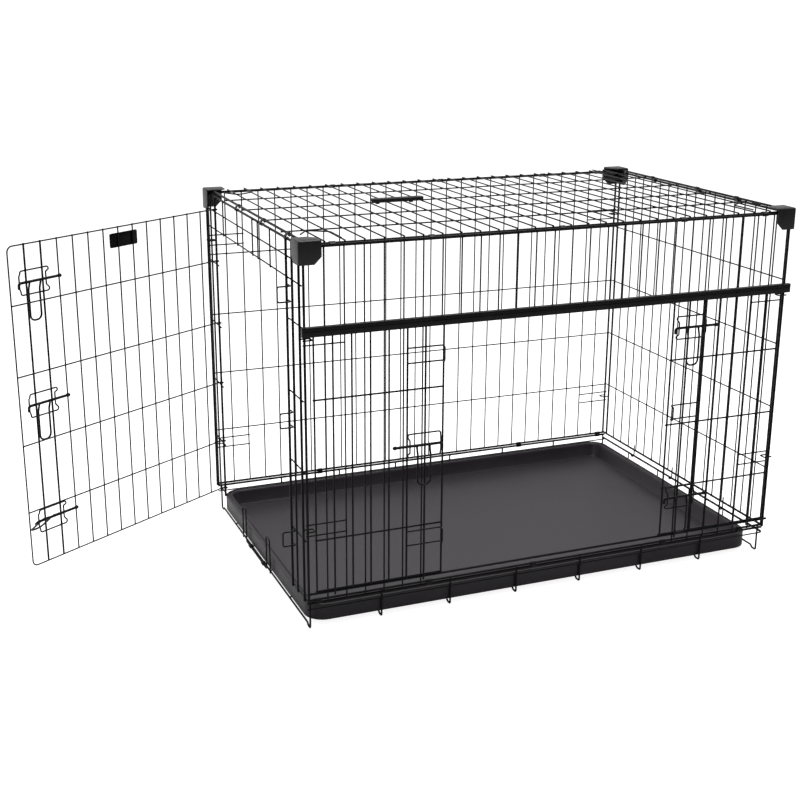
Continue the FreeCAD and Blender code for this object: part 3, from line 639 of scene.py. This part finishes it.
# end door
doorSettings = {"curl": 285, "curlRadius": 4.3 * mm, "corner": 12 * mm, "radius": 1.5 * mm,
                "uprightOver": 100 * mm}
plateSettings = {"corner": 3 * mm, "lip": 1.6 * mm, "ramp": 0.4 * mm, "dip": 0.5 * mm,
                 "edge": 0.25 * mm, "rivet": 2.2 * mm, "rivetFlat": 0.4, "rivetIn": 7 * mm,
                 "rivetSink": 0.75 * mm}
doorAlong = Vector(joints["door_middle_latch_slide"]["axis"]).normalized()
doorOut = doorAlong.cross(up)
doorHinge = Vector(joints["end_door_hinge"]["pos_m"])
doorHinge.z = 0


def doorAt(u, n, w):
    return doorHinge + doorAlong * u + doorOut * n + up * w


def alongDoor(point):
    return (point - doorHinge).dot(doorAlong)


def doorRow(w, free):
    # a row from its free end back to the hinge wire, curled round it
    s = doorSettings
    beginWire(doorAt(free, s["curlRadius"], w), -doorAlong, s["radius"])
    runWire(-doorAlong * free)
    turnWire(doorAt(0, 0, w), -up, s["curl"])
    return endWire(s["radius"])


def doorOutline(low, high, free):
    s = doorSettings
    angle = radians(s["curl"])
    reach = s["curlRadius"]
    tip = doorAt(-sin(angle) * reach, cos(angle) * reach, high)
    heading = doorAlong * cos(angle) + doorOut * sin(angle)
    beginWire(tip, heading, s["radius"])
    turnWire(doorAt(0, 0, high), up, s["curl"])
    corners = [doorAt(0, reach, high), doorAt(free, reach, high), doorAt(free, reach, low),
               doorAt(0, reach, low)]
    followPath(corners, [s["corner"], s["corner"]])
    turnWire(doorAt(0, 0, low), -up, s["curl"])
    return endWire(s["radius"])


def buildPlate():
    s = plateSettings
    points = partsOf("door_plate")[0][2]
    spans = ([alongDoor(point) for point in points],
             [(point - doorHinge).dot(doorOut) for point in points],
             [point.z for point in points])
    size = [max(span) - min(span) for span in spans]
    centre = doorAt(*[(max(span) + min(span)) / 2 for span in spans])
    clearSelection()
    bpy.ops.mesh.primitive_cube_add(size=1)
    piece = bpy.context.object
    piece.scale = size
    placeInMesh(piece)
    bpy.ops.object.mode_set(mode="EDIT")
    pick("edges", lambda edge: abs(edgeHeading(edge).y) > 0.9)
    bpy.ops.mesh.bevel(offset=s["corner"], segments=4, affect="EDGES")
    pick("faces", lambda face: face.normal.y > 0.9)
    bpy.ops.mesh.inset(thickness=s["lip"], depth=0)
    bpy.ops.mesh.inset(thickness=s["ramp"], depth=-s["dip"])
    bpy.ops.object.mode_set(mode="OBJECT")
    applyModifier("BEVEL", width=s["edge"], segments=2, limit_method="ANGLE",
                  angle_limit=radians(50))
    face = takeMesh()
    clearSelection()
    bpy.ops.mesh.primitive_uv_sphere_add(segments=14, ring_count=8, radius=s["rivet"])
    editAll()
    bpy.ops.transform.resize(value=(1, s["rivetFlat"], 1))
    rivet = takeMesh(180)
    place = axesMatrix(doorAlong, doorOut, up, centre)
    meshes = [copyMesh(face, place)]
    for side in (-1, 1):
        spot = Matrix.Translation((side * (size[0] / 2 - s["rivetIn"]),
                                   size[1] / 2 - s["rivetSink"], 0))
        meshes.append(copyMesh(rivet, place @ spot))
    finishPiece("doorPlate", meshes, ["door_plate"], "plate")


def doorLine(level, free):
    # a level wire of the door, as weldBetween takes it
    s = doorSettings
    return doorAt(0, s["curlRadius"], level), doorAt(free, s["curlRadius"], level), s["radius"]


def buildDoor():
    s = doorSettings
    low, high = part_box("end_door_frame")
    bottom, top = low.z + s["radius"], high.z - s["radius"]
    free = max(alongDoor(point) for point in partsOf("end_door_frame")[0][2]) - s["radius"]
    finishPiece("endDoorOutline", [doorOutline(bottom, top, free)], ["end_door_frame"], "wire")
    wires, meshes = [], []
    for partLow, partHigh, points in partsOf("end_door_mesh"):
        if partHigh.z - partLow.z > s["uprightOver"]:
            middle = (partLow + partHigh) / 2
            wires.append((Vector((middle.x, middle.y, partLow.z)),
                          Vector((middle.x, middle.y, partHigh.z)),
                          (partHigh.x - partLow.x) / 2))
            meshes.append(straightWire(*wires[-1]))
        else:
            level = (partLow.z + partHigh.z) / 2
            meshes.append(doorRow(level, free))
            wires.append(doorLine(level, free))
    wires += [doorLine(level, free) for level in (bottom, top)]
    beads = [weldBetween(one, other) for i, one in enumerate(wires) for other in wires[:i]]
    finishPiece("endDoorMeshWires", meshes + [bead for bead in beads if bead],
                ["end_door_mesh"], "wire")
    buildPlate()
    print("end door done")


buildDoor()


# floor, feet and lips
footSettings = {"radius": 2 * mm, "flat": 12 * mm, "rise": 19 * mm, "lift": 5 * mm,
                "bends": (4 * mm, 3 * mm, 3 * mm), "riserBend": 6 * mm}


def buildFloor():
    s = footSettings
    r = s["radius"]
    feet = partsOf("floor_feet")
    low, high, points = next(part for part in feet if part[0].y > 0)
    out, foot, top = high.y - r, low.z + r, high.z
    master = bentWire([(0, out, top), (0, out, foot), (0, out - s["flat"], foot),
                       (0, out - s["rise"], foot + s["lift"]), (0, low.y, foot + s["lift"])],
                      s["bends"], r)
    meshes = []
    for low, high, points in feet:
        side = 1 if low.y > 0 else -1
        place = Matrix.Translation(((low.x + high.x) / 2, 0, 0)) @ Matrix.Diagonal((1, side, 1, 1))
        meshes.append(copyMesh(master, place))
    finishPiece("floorFeet", meshes, ["floor_feet"], "wire")
    meshes = [straightWire(*wire) for wire in wiresIn("floor_lips")]
    for low, high, points in partsOf("floor_lips"):
        size = high - low
        if sorted(size)[1] > wireSettings["bentOver"]:
            r = size.y / 2
            y = (low.y + high.y) / 2
            meshes.append(bentWire([(low.x, y, low.z + r), (high.x - r, y, low.z + r),
                                    (high.x - r, y, high.z)], s["riserBend"], r))
    finishPiece("floorLips", meshes, ["floor_lips"], "wire")
    print("floor done")


buildFloor()


# hooks
hookSettings = {"cornerX": 535 * mm, "cornerY": 351.5 * mm, "topBend": 12 * mm,
                "topPath": ((20, 75), (43, 111), (82, 85), (81, 18)),
                "panelBend": 3.2 * mm, "panelStart": 2.25 * mm, "footBend": 4.018 * mm,
                "footUp": 8.1 * mm}


def buildHooks():
    s = hookSettings
    low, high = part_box("top_corner_hooks")
    r = (high.z - low.z) / 2
    z = (high.z + low.z) / 2
    path = [(s["cornerX"] - a * mm, s["cornerY"] - b * mm, z) for a, b in s["topPath"]]
    master = bentWire(path, s["topBend"], r)
    meshes = [copyMesh(master, Matrix.Diagonal((x, y, 1, 1))) for x in (-1, 1) for y in (-1, 1)]
    finishPiece("topCornerHooks", meshes, ["top_corner_hooks"], "wire")

    meshes = []
    hooks = partsOf("end_panel_hooks")
    low, high, points = next(part for part in hooks if part[0].x > 0 and part[0].y > 0)
    r = (high.z - low.z) / 2
    start, turnIn = high.x - s["panelStart"], low.x + r
    inside, outside = low.y + r, high.y - r
    master = bentWire([(start, inside, 0), (turnIn, inside, 0), (turnIn, outside, 0),
                       (high.x, outside, 0)], s["panelBend"], r)
    for low, high, points in hooks:
        x = 1 if low.x > 0 else -1
        y = 1 if low.y > 0 else -1
        place = Matrix.Translation((0, 0, (low.z + high.z) / 2)) @ Matrix.Diagonal((x, y, 1, 1))
        meshes.append(copyMesh(master, place))
    finishPiece("endPanelHooks", meshes, ["end_panel_hooks"], "wire")

    meshes = []
    for low, high, points in partsOf("right_end_foot_hooks"):
        y, r = (low.y + high.y) / 2, (high.y - low.y) / 2
        bottom = low.z + r
        meshes.append(bentWire([(high.x - r, y, high.z), (high.x - r, y, bottom),
                                (low.x + r, y, bottom),
                                (low.x + r, y, bottom + s["footUp"])],
                               s["footBend"], r))
    finishPiece("rightEndFootHooks", meshes, ["right_end_foot_hooks"], "wire")
    print("hooks done")


buildHooks()


# spring clips round two wires
clipSettings = {"wall": 1.2 * mm, "slit": 1.4 * mm, "edge": 0.3 * mm}


def makeClip(length, apart, inner):
    # a band closed round two wires, apart between their centres, with a slit where it was crimped
    s = clipSettings
    clearSelection()
    bpy.ops.mesh.primitive_cylinder_add(vertices=24, radius=inner + s["wall"], depth=length,
                                        end_fill_type="NOTHING")
    bpy.ops.object.mode_set(mode="EDIT")
    for side in (-1, 1):
        pick("verts", lambda vert: vert.co.x * side > 1e-5)
        bpy.ops.transform.translate(value=(side * apart / 2, 0, 0))
    pick("faces", lambda face: face.normal.y > 0.99)
    bpy.ops.mesh.delete(type="FACE")
    for side in (-1, 1):
        pick("edges", lambda edge: edge.is_boundary and abs(edgeHeading(edge).z) > 0.9
             and edgeMiddle(edge).x * side > 0)
        target = side * s["slit"] / 2
        mesh = bmesh.from_edit_mesh(bpy.context.object.data)
        here = edgeMiddle(next(edge for edge in mesh.edges if edge.select))
        bpy.ops.mesh.extrude_region_move(TRANSFORM_OT_translate={
            "value": (target - here.x, 0, 0)})
    bpy.ops.object.mode_set(mode="OBJECT")
    applyModifier("SOLIDIFY", thickness=s["wall"], offset=-1)
    applyModifier("BEVEL", width=s["edge"], segments=2, limit_method="ANGLE",
                  angle_limit=radians(50))
    return takeMesh()


def placeClips(name, node, first, second, along, radius):
    # first and second are the centres of the two wires, seen along them
    across = second - first
    parts = partsOf(node)
    low, high, points = parts[0]
    master = makeClip(abs((high - low).dot(along)), across.length, radius)
    meshes = []
    for low, high, points in parts:
        centre = (low + high) / 2
        xAxis = across.normalized()
        if along.x and centre.y < 0:
            xAxis.y = -xAxis.y
        if along.y and centre.x < 0:
            xAxis.x = -xAxis.x
        yAxis = along.cross(xAxis)
        outward = Vector((centre.x if along.y else 0, centre.y if along.x else 0, 0))
        flip = -1 if yAxis.dot(outward) > 0 else 1       # the slit faces into the crate
        meshes.append(copyMesh(master, axesMatrix(xAxis, yAxis * flip, along, centre)))
    finishPiece(name, meshes, [node], "clip")
    return len(meshes)


def outermost(node, axis, best=max):
    # the wire square to an axis that lies furthest along it
    wires = [wire for wire in wiresIn(node) if abs(wire[0][axis] - wire[1][axis]) < mm]
    return best(wires, key=lambda wire: wire[0][axis])


def buildClips():
    lips = [wire for wire in wiresIn("floor_lips") if wire[2] > 2 * mm]
    lip = max(lips, key=lambda wire: wire[0].y)
    foot, head = outermost("back_panel_frame", 2, min), outermost("back_panel_frame", 2)
    edge, crossEdge = outermost("top_panel_frame", 1), outermost("top_panel_frame", 0)
    endHead = outermost("right_end_frame", 2)
    alongX, alongY = Vector((1, 0, 0)), Vector((0, 1, 0))

    def flat(wire, axis):
        point = wire[0].copy()
        point[axis] = 0
        return point

    count = placeClips("floorClips", "floor_clips", flat(foot, 0), flat(lip, 0), alongX, foot[2])
    count += placeClips("topClips", "top_clips", flat(head, 0), flat(edge, 0), alongX, head[2])
    count += placeClips("endTopClips", "end_top_clips", flat(endHead, 1), flat(crossEdge, 1),
                        alongY, crossEdge[2])
    cross = min(wiresIn("floor_cross_wires"), key=lambda wire: wire[0].x)
    pivot = Vector(joints["tray_stop_hinge"]["pos_m"])
    count += placeClips("trayStopClips", "tray_stop_clips", flat((pivot, pivot), 1),
                        flat(cross, 1), alongY, cross[2])
    print("clips:", count)


buildClips()


# tray stop
stopSettings = {"width": 26 * mm, "bend": 6 * mm}


def buildTrayStop():
    s = stopSettings
    low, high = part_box("tray_stop")
    r = (high.x - low.x) / 2
    x, bottom, top = (low.x + high.x) / 2, low.z + r, high.z - r
    yHigh, yLow, wide = high.y - r, low.y + r, s["width"]
    path = [(x, yHigh, bottom), (x, yHigh, top), (x, yHigh - wide, top), (x, yHigh - wide, bottom),
            (x, yLow + wide, bottom), (x, yLow + wide, top), (x, yLow, top), (x, yLow, bottom)]
    finishPiece("trayStop", [bentWire(path, s["bend"], r)], ["tray_stop"], "wire")
    print("tray stop done")


buildTrayStop()


# rail over the sliding doors
railSettings = {"endRound": 4 * mm, "grooveLow": 1.0 * mm, "grooveHigh": 3.4 * mm,
                "grooveDeep": 1.2 * mm, "edge": 0.5 * mm, "channelBack": 1.4 * mm,
                "channelFront": 2.1 * mm, "roof": 3 * mm, "line": 0.01 * mm}


def buildRail():
    s = railSettings
    low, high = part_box("slider_rail")
    middle = (low + high) / 2
    clearSelection()
    bpy.ops.mesh.primitive_cube_add(size=1, location=middle)
    piece = bpy.context.object
    piece.scale = high - low
    placeInMesh(piece)
    bpy.ops.object.mode_set(mode="EDIT")
    pick("edges", lambda edge: abs(edgeHeading(edge).z) > 0.9)
    bpy.ops.mesh.bevel(offset=s["endRound"], segments=6, affect="EDGES")
    for z in (middle.z + s["grooveLow"], middle.z + s["grooveHigh"]):
        bpy.ops.mesh.select_all(action="SELECT")
        bpy.ops.mesh.bisect(plane_co=(0, 0, z), plane_no=(0, 0, 1))
    pick("faces", lambda face: face.normal.y < -0.9 and abs(
        face.calc_center_median().z - middle.z - (s["grooveLow"] + s["grooveHigh"]) / 2) < mm)
    bpy.ops.mesh.inset(thickness=s["line"], depth=0)
    bpy.ops.mesh.extrude_region_move(TRANSFORM_OT_translate={"value": (0, s["grooveDeep"], 0)})
    pick("faces", lambda face: face.normal.z < -0.9                 # the doors' channel
         and face.calc_center_median().z < low.z + mm)
    bpy.ops.mesh.inset(thickness=(s["channelBack"] + s["channelFront"]) / 2, depth=0)
    bpy.ops.mesh.extrude_region_move(TRANSFORM_OT_translate={
        "value": (0, 0, high.z - low.z - s["roof"])})
    bpy.ops.object.mode_set(mode="OBJECT")
    applyModifier("BEVEL", width=s["edge"], segments=2, limit_method="ANGLE",
                  angle_limit=radians(60))
    finishPiece("sliderRail", [takeMesh()], ["slider_rail"], "rail")
    print("rail done")


buildRail()


# floor tray
traySettings = {"corner": 40 * mm, "wall": 2.0 * mm, "edge": 0.5 * mm,
                "profile": ((0.9, 0.9), (1.6, 0.0), (1.2, -2.6), (6.4, 0.0), (1.2, 2.6),
                            (2.2, 0.0), (1.2, -1.2), (2.0, -4.0), (7.4, -23.1), (2.4, -2.6),
                            (3.4, -0.6))}


def buildTray():
    s = traySettings
    low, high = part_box("tray")
    middle = (low + high) / 2
    rimHeight = high.z - s["profile"][0][1] * mm
    clearSelection()
    bpy.ops.mesh.primitive_plane_add(size=1, location=(middle.x, middle.y, rimHeight))
    piece = bpy.context.object
    piece.scale = (high.x - low.x, high.y - low.y, 1)
    placeInMesh(piece)
    editAll()
    bpy.ops.mesh.bevel(offset=s["corner"], segments=10, affect="VERTICES")
    pick("faces", lambda face: True)
    for thick, rise in s["profile"]:
        bpy.ops.mesh.inset(thickness=thick * mm, depth=rise * mm)
    pick("edges", lambda edge: edge.is_boundary)
    bpy.ops.mesh.extrude_region_move(TRANSFORM_OT_translate={"value": (0, 0, low.z - rimHeight)})
    bpy.ops.mesh.select_all(action="SELECT")
    bpy.ops.mesh.normals_make_consistent(inside=False)
    bpy.ops.object.mode_set(mode="OBJECT")
    applyModifier("SOLIDIFY", thickness=s["wall"], offset=-1)
    applyModifier("BEVEL", width=s["edge"], segments=2, limit_method="ANGLE",
                  angle_limit=radians(55))
    finishPiece("floorTray", [takeMesh(35)], ["tray"], "tray", 35)
    print("tray done")


buildTray()


# corner guards
guardSettings = {"wall": 2.4 * mm, "chamfer": 14 * mm, "square": 0.7071, "round": 4 * mm,
                 "edge": 0.5 * mm, "sink": 0.9 * mm, "rim": 4.5 * mm,
                 "cap": ((1.2 * mm, 0.7), (6 * mm, 0.3))}


def buildGuards():
    s = guardSettings
    low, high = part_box("corner_guard_back_right")
    size = high - low
    clearSelection()
    bpy.ops.mesh.primitive_cube_add(size=1, location=(low + high) / 2)
    piece = bpy.context.object
    piece.scale = size
    placeInMesh(piece)
    bpy.ops.object.mode_set(mode="EDIT")
    pick("faces", lambda face: min(face.normal) < -0.9)      # open towards the crate and below
    bpy.ops.mesh.delete(type="FACE")
    pick("edges", lambda edge: not edge.is_boundary)
    bpy.ops.mesh.bevel(offset=s["round"], segments=5, affect="EDGES")
    cut = s["chamfer"] * s["square"]           # from the corner, square to the cut
    for corner, normal in ((Vector((high.x, low.y, low.z)), Vector((0, -1, -1))),
                           (Vector((low.x, high.y, low.z)), Vector((-1, 0, -1))),
                           (Vector((low.x, low.y, high.z)), Vector((-1, -1, 0)))):
        normal.normalize()
        bpy.ops.mesh.select_all(action="SELECT")
        bpy.ops.mesh.bisect(plane_co=corner - normal * cut, plane_no=normal, clear_outer=True)
    pick("faces", lambda face: face.normal.z > 0.999)        # a raised, slightly domed cap
    bpy.ops.transform.translate(value=(0, 0, -s["sink"]))
    bpy.ops.mesh.inset(thickness=s["rim"], depth=0)
    for thick, share in s["cap"]:
        bpy.ops.mesh.inset(thickness=thick, depth=s["sink"] * share)
    bpy.ops.object.mode_set(mode="OBJECT")
    applyModifier("SOLIDIFY", thickness=s["wall"], offset=-1)
    applyModifier("BEVEL", width=s["edge"], segments=2, limit_method="ANGLE",
                  angle_limit=radians(50))
    master = takeMesh(50)
    for x, y, node, name in ((1, 1, "corner_guard_back_right", "guardBackRight"),
                             (-1, 1, "corner_guard_back_left", "guardBackLeft"),
                             (1, -1, "corner_guard_front_right", "guardFrontRight"),
                             (-1, -1, "corner_guard_front_left", "guardFrontLeft")):
        finishPiece(name, [copyMesh(master, Matrix.Diagonal((x, y, 1, 1)))], [node], "guard", 50)
    print("guards done")


buildGuards()


# carry handle
handleSettings = {"depth": 20 * mm, "thick": 6 * mm, "corner": 6 * mm, "edge": 1.2 * mm,
                  "lug": 8 * mm, "hubWall": 2.4 * mm, "hubHole": 1.55 * mm,
                  "hubEdge": 0.4 * mm, "armIn": 0.55, "armShort": 4 * mm,
                  "armSit": 2.6 * mm, "armThick": 3.4 * mm, "armEdge": 0.8 * mm, "ribs": 8,
                  "ribPitch": 8 * mm, "ribWide": 2.4 * mm, "ribDeep": 0.6 * mm,
                  "ribRamp": 0.4 * mm, "ribFind": 0.2 * mm}


def buildHandle():
    s = handleSettings
    low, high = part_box("carry_handle")
    hinge = Vector(joints["carry_handle_hinge"]["pos_m"])
    gripLow = high.z - s["thick"]
    clearSelection()
    bpy.ops.mesh.primitive_cube_add(size=1, location=(hinge.x, low.y + s["depth"] / 2,
                                                      high.z - s["thick"] / 2))
    piece = bpy.context.object
    piece.scale = (high.x - low.x, s["depth"], s["thick"])
    placeInMesh(piece)
    bpy.ops.object.mode_set(mode="EDIT")
    pick("edges", lambda edge: abs(edgeHeading(edge).z) > 0.9)
    bpy.ops.mesh.bevel(offset=s["corner"], segments=6, affect="EDGES")
    ribCentres = [hinge.x + (i - (s["ribs"] - 1) / 2) * s["ribPitch"] for i in range(s["ribs"])]
    for centre in ribCentres:
        for side in (-1, 1):
            bpy.ops.mesh.select_all(action="SELECT")
            bpy.ops.mesh.bisect(plane_co=(centre + side * s["ribWide"] / 2, 0, 0),
                                plane_no=(1, 0, 0))

    def inRib(face):
        x = face.calc_center_median().x
        return face.normal.z > 0.9 and any(abs(x - rib) < s["ribFind"] for rib in ribCentres)

    pick("faces", inRib)
    bpy.ops.mesh.inset(thickness=s["ribRamp"], depth=-s["ribDeep"], use_individual=True)
    bpy.ops.object.mode_set(mode="OBJECT")
    applyModifier("BEVEL", width=s["edge"], segments=3, limit_method="ANGLE",
                  angle_limit=radians(60))
    meshes = [takeMesh()]
    hub = s["hubHole"] + s["hubWall"]
    lugs = sorted({round(point.x, 4) for point in partsOf("carry_handle")[0][2]
                   if abs(point.y - hinge.y) < hub and point.z < hinge.z})
    for x in (sum(lugs[:2]) / 2, sum(lugs[-2:]) / 2):
        clearSelection()
        bpy.ops.mesh.primitive_cylinder_add(vertices=28, radius=hub, depth=s["lug"],
                                            end_fill_type="NOTHING")
        applyModifier("SOLIDIFY", thickness=s["hubWall"], offset=-1)
        applyModifier("BEVEL", width=s["hubEdge"], segments=2, limit_method="ANGLE")
        ring = bpy.context.object
        ring.rotation_euler = (0, radians(90), 0)
        ring.location = (x, hinge.y, hinge.z)
        meshes.append(takeMesh())
        clearSelection()
        armStart = hinge.y - hub * s["armIn"]
        armEnd = low.y + s["depth"] - s["armShort"]
        bpy.ops.mesh.primitive_cube_add(size=1, location=(x, (armStart + armEnd) / 2,
                                                          gripLow + s["armSit"]))
        arm = bpy.context.object
        arm.scale = (s["lug"], armStart - armEnd, s["armThick"])
        placeInMesh(arm)
        applyModifier("BEVEL", width=s["armEdge"], segments=2)
        meshes.append(takeMesh())
    finishPiece("carryHandle", meshes, ["carry_handle"], "grip")
    print("handle done")


buildHandle()


# studio
studio = {"camera": (-1.256, -2.6135, 1.219), "azimuth": -21.96, "elevation": 17.34,
          "roll": 0.25, "lens": 59.7, "floor": 60.0, "backdrop": 1.05, "floorSeen": 0.92,
          "roomFront": 0.03, "roomBack": 0.82, "roomFade": (-0.35, 0.45),
          "floorFront": 0.0, "floorBack": 0.75, "floorFade": (-0.4, 1.4), "paper": 0.6,
          "sensor": 36, "farthest": 100, "aim": (0, 0, 0.35),
          "lights": (("keyLight", (-2.4, -2.2, 3.6), 1.8, 24),
                     ("fillLight", (3.2, -1.8, 2.6), 2.0, 10),
                     ("topLight", (0.2, -0.2, 3.0), 1.6, 62))}


def backdropGlow(tree, socket, coordinate, fade, front, back, seen):
    # a room that is dark in front and bright behind, and plain white where it shows
    place = tree.nodes.new("ShaderNodeTexCoord")
    split = tree.nodes.new("ShaderNodeSeparateXYZ")
    tree.links.new(place.outputs[coordinate], split.inputs["Vector"])
    room = addNode(tree, "ShaderNodeMapRange", **{"From Min": fade[0], "From Max": fade[1],
                                                  "To Min": front, "To Max": back})
    tree.links.new(split.outputs["Y"], room.inputs["Value"])
    path = tree.nodes.new("ShaderNodeLightPath")
    strength = addNode(tree, "ShaderNodeMapRange", **{"To Max": seen})
    tree.links.new(path.outputs["Is Camera Ray"], strength.inputs["Value"])
    tree.links.new(room.outputs["Result"], strength.inputs["To Min"])
    tree.links.new(strength.outputs["Result"], socket)


def buildStudio(s):
    clearSelection()
    bpy.ops.mesh.primitive_plane_add(size=s["floor"], location=(0, 0, 0))
    floor = bpy.context.object
    floor.name = "studioFloor"
    paper = bpy.data.materials.new("paper")
    paper.use_nodes = True
    surface = paper.node_tree.nodes["Principled BSDF"]
    surface.inputs["Base Color"].default_value = (s["paper"], s["paper"], s["paper"], 1)
    surface.inputs["Roughness"].default_value = 0.9
    surface.inputs["Specular IOR Level"].default_value = 0.1
    surface.inputs["Emission Color"].default_value = (1, 1, 1, 1)
    backdropGlow(paper.node_tree, surface.inputs["Emission Strength"], "Object", s["floorFade"],
                 s["floorFront"], s["floorBack"], s["floorSeen"])
    floor.data.materials.append(paper)
    for name, place, size, power in s["lights"]:
        light = bpy.data.lights.new(name, "AREA")
        light.energy = power
        light.size = size
        lamp = bpy.data.objects.new(name, light)
        lamp.location = place
        aim = Vector(s["aim"]) - Vector(place)
        lamp.rotation_euler = aim.to_track_quat("-Z", "Y").to_euler()
        bpy.context.scene.collection.objects.link(lamp)
    world = bpy.data.worlds.new("studioWorld")
    world.use_nodes = True
    shine = world.node_tree.nodes["Background"]
    shine.inputs["Color"].default_value = (1, 1, 1, 1)
    backdropGlow(world.node_tree, shine.inputs["Strength"], "Generated", s["roomFade"],
                 s["roomFront"], s["roomBack"], s["backdrop"])
    bpy.context.scene.world = world
    bpy.context.scene.view_settings.view_transform = "Standard"
    camera = bpy.data.cameras.new("studioCamera")
    camera.lens = s["lens"]
    camera.sensor_width = s["sensor"]
    camera.clip_end = s["farthest"]
    viewer = bpy.data.objects.new("studioCamera", camera)
    a, e, r = radians(s["azimuth"]), radians(s["elevation"]), radians(s["roll"])
    back = Vector((sin(a) * cos(e), -cos(a) * cos(e), sin(e)))
    right = Vector((cos(a), sin(a), 0))
    top = back.cross(right)
    rolled = right * cos(r) + top * sin(r)
    viewer.matrix_world = axesMatrix(rolled, back.cross(rolled), back, Vector(s["camera"]))
    bpy.context.scene.collection.objects.link(viewer)
    bpy.context.scene.camera = viewer
    print("studio done")


buildStudio(studio)
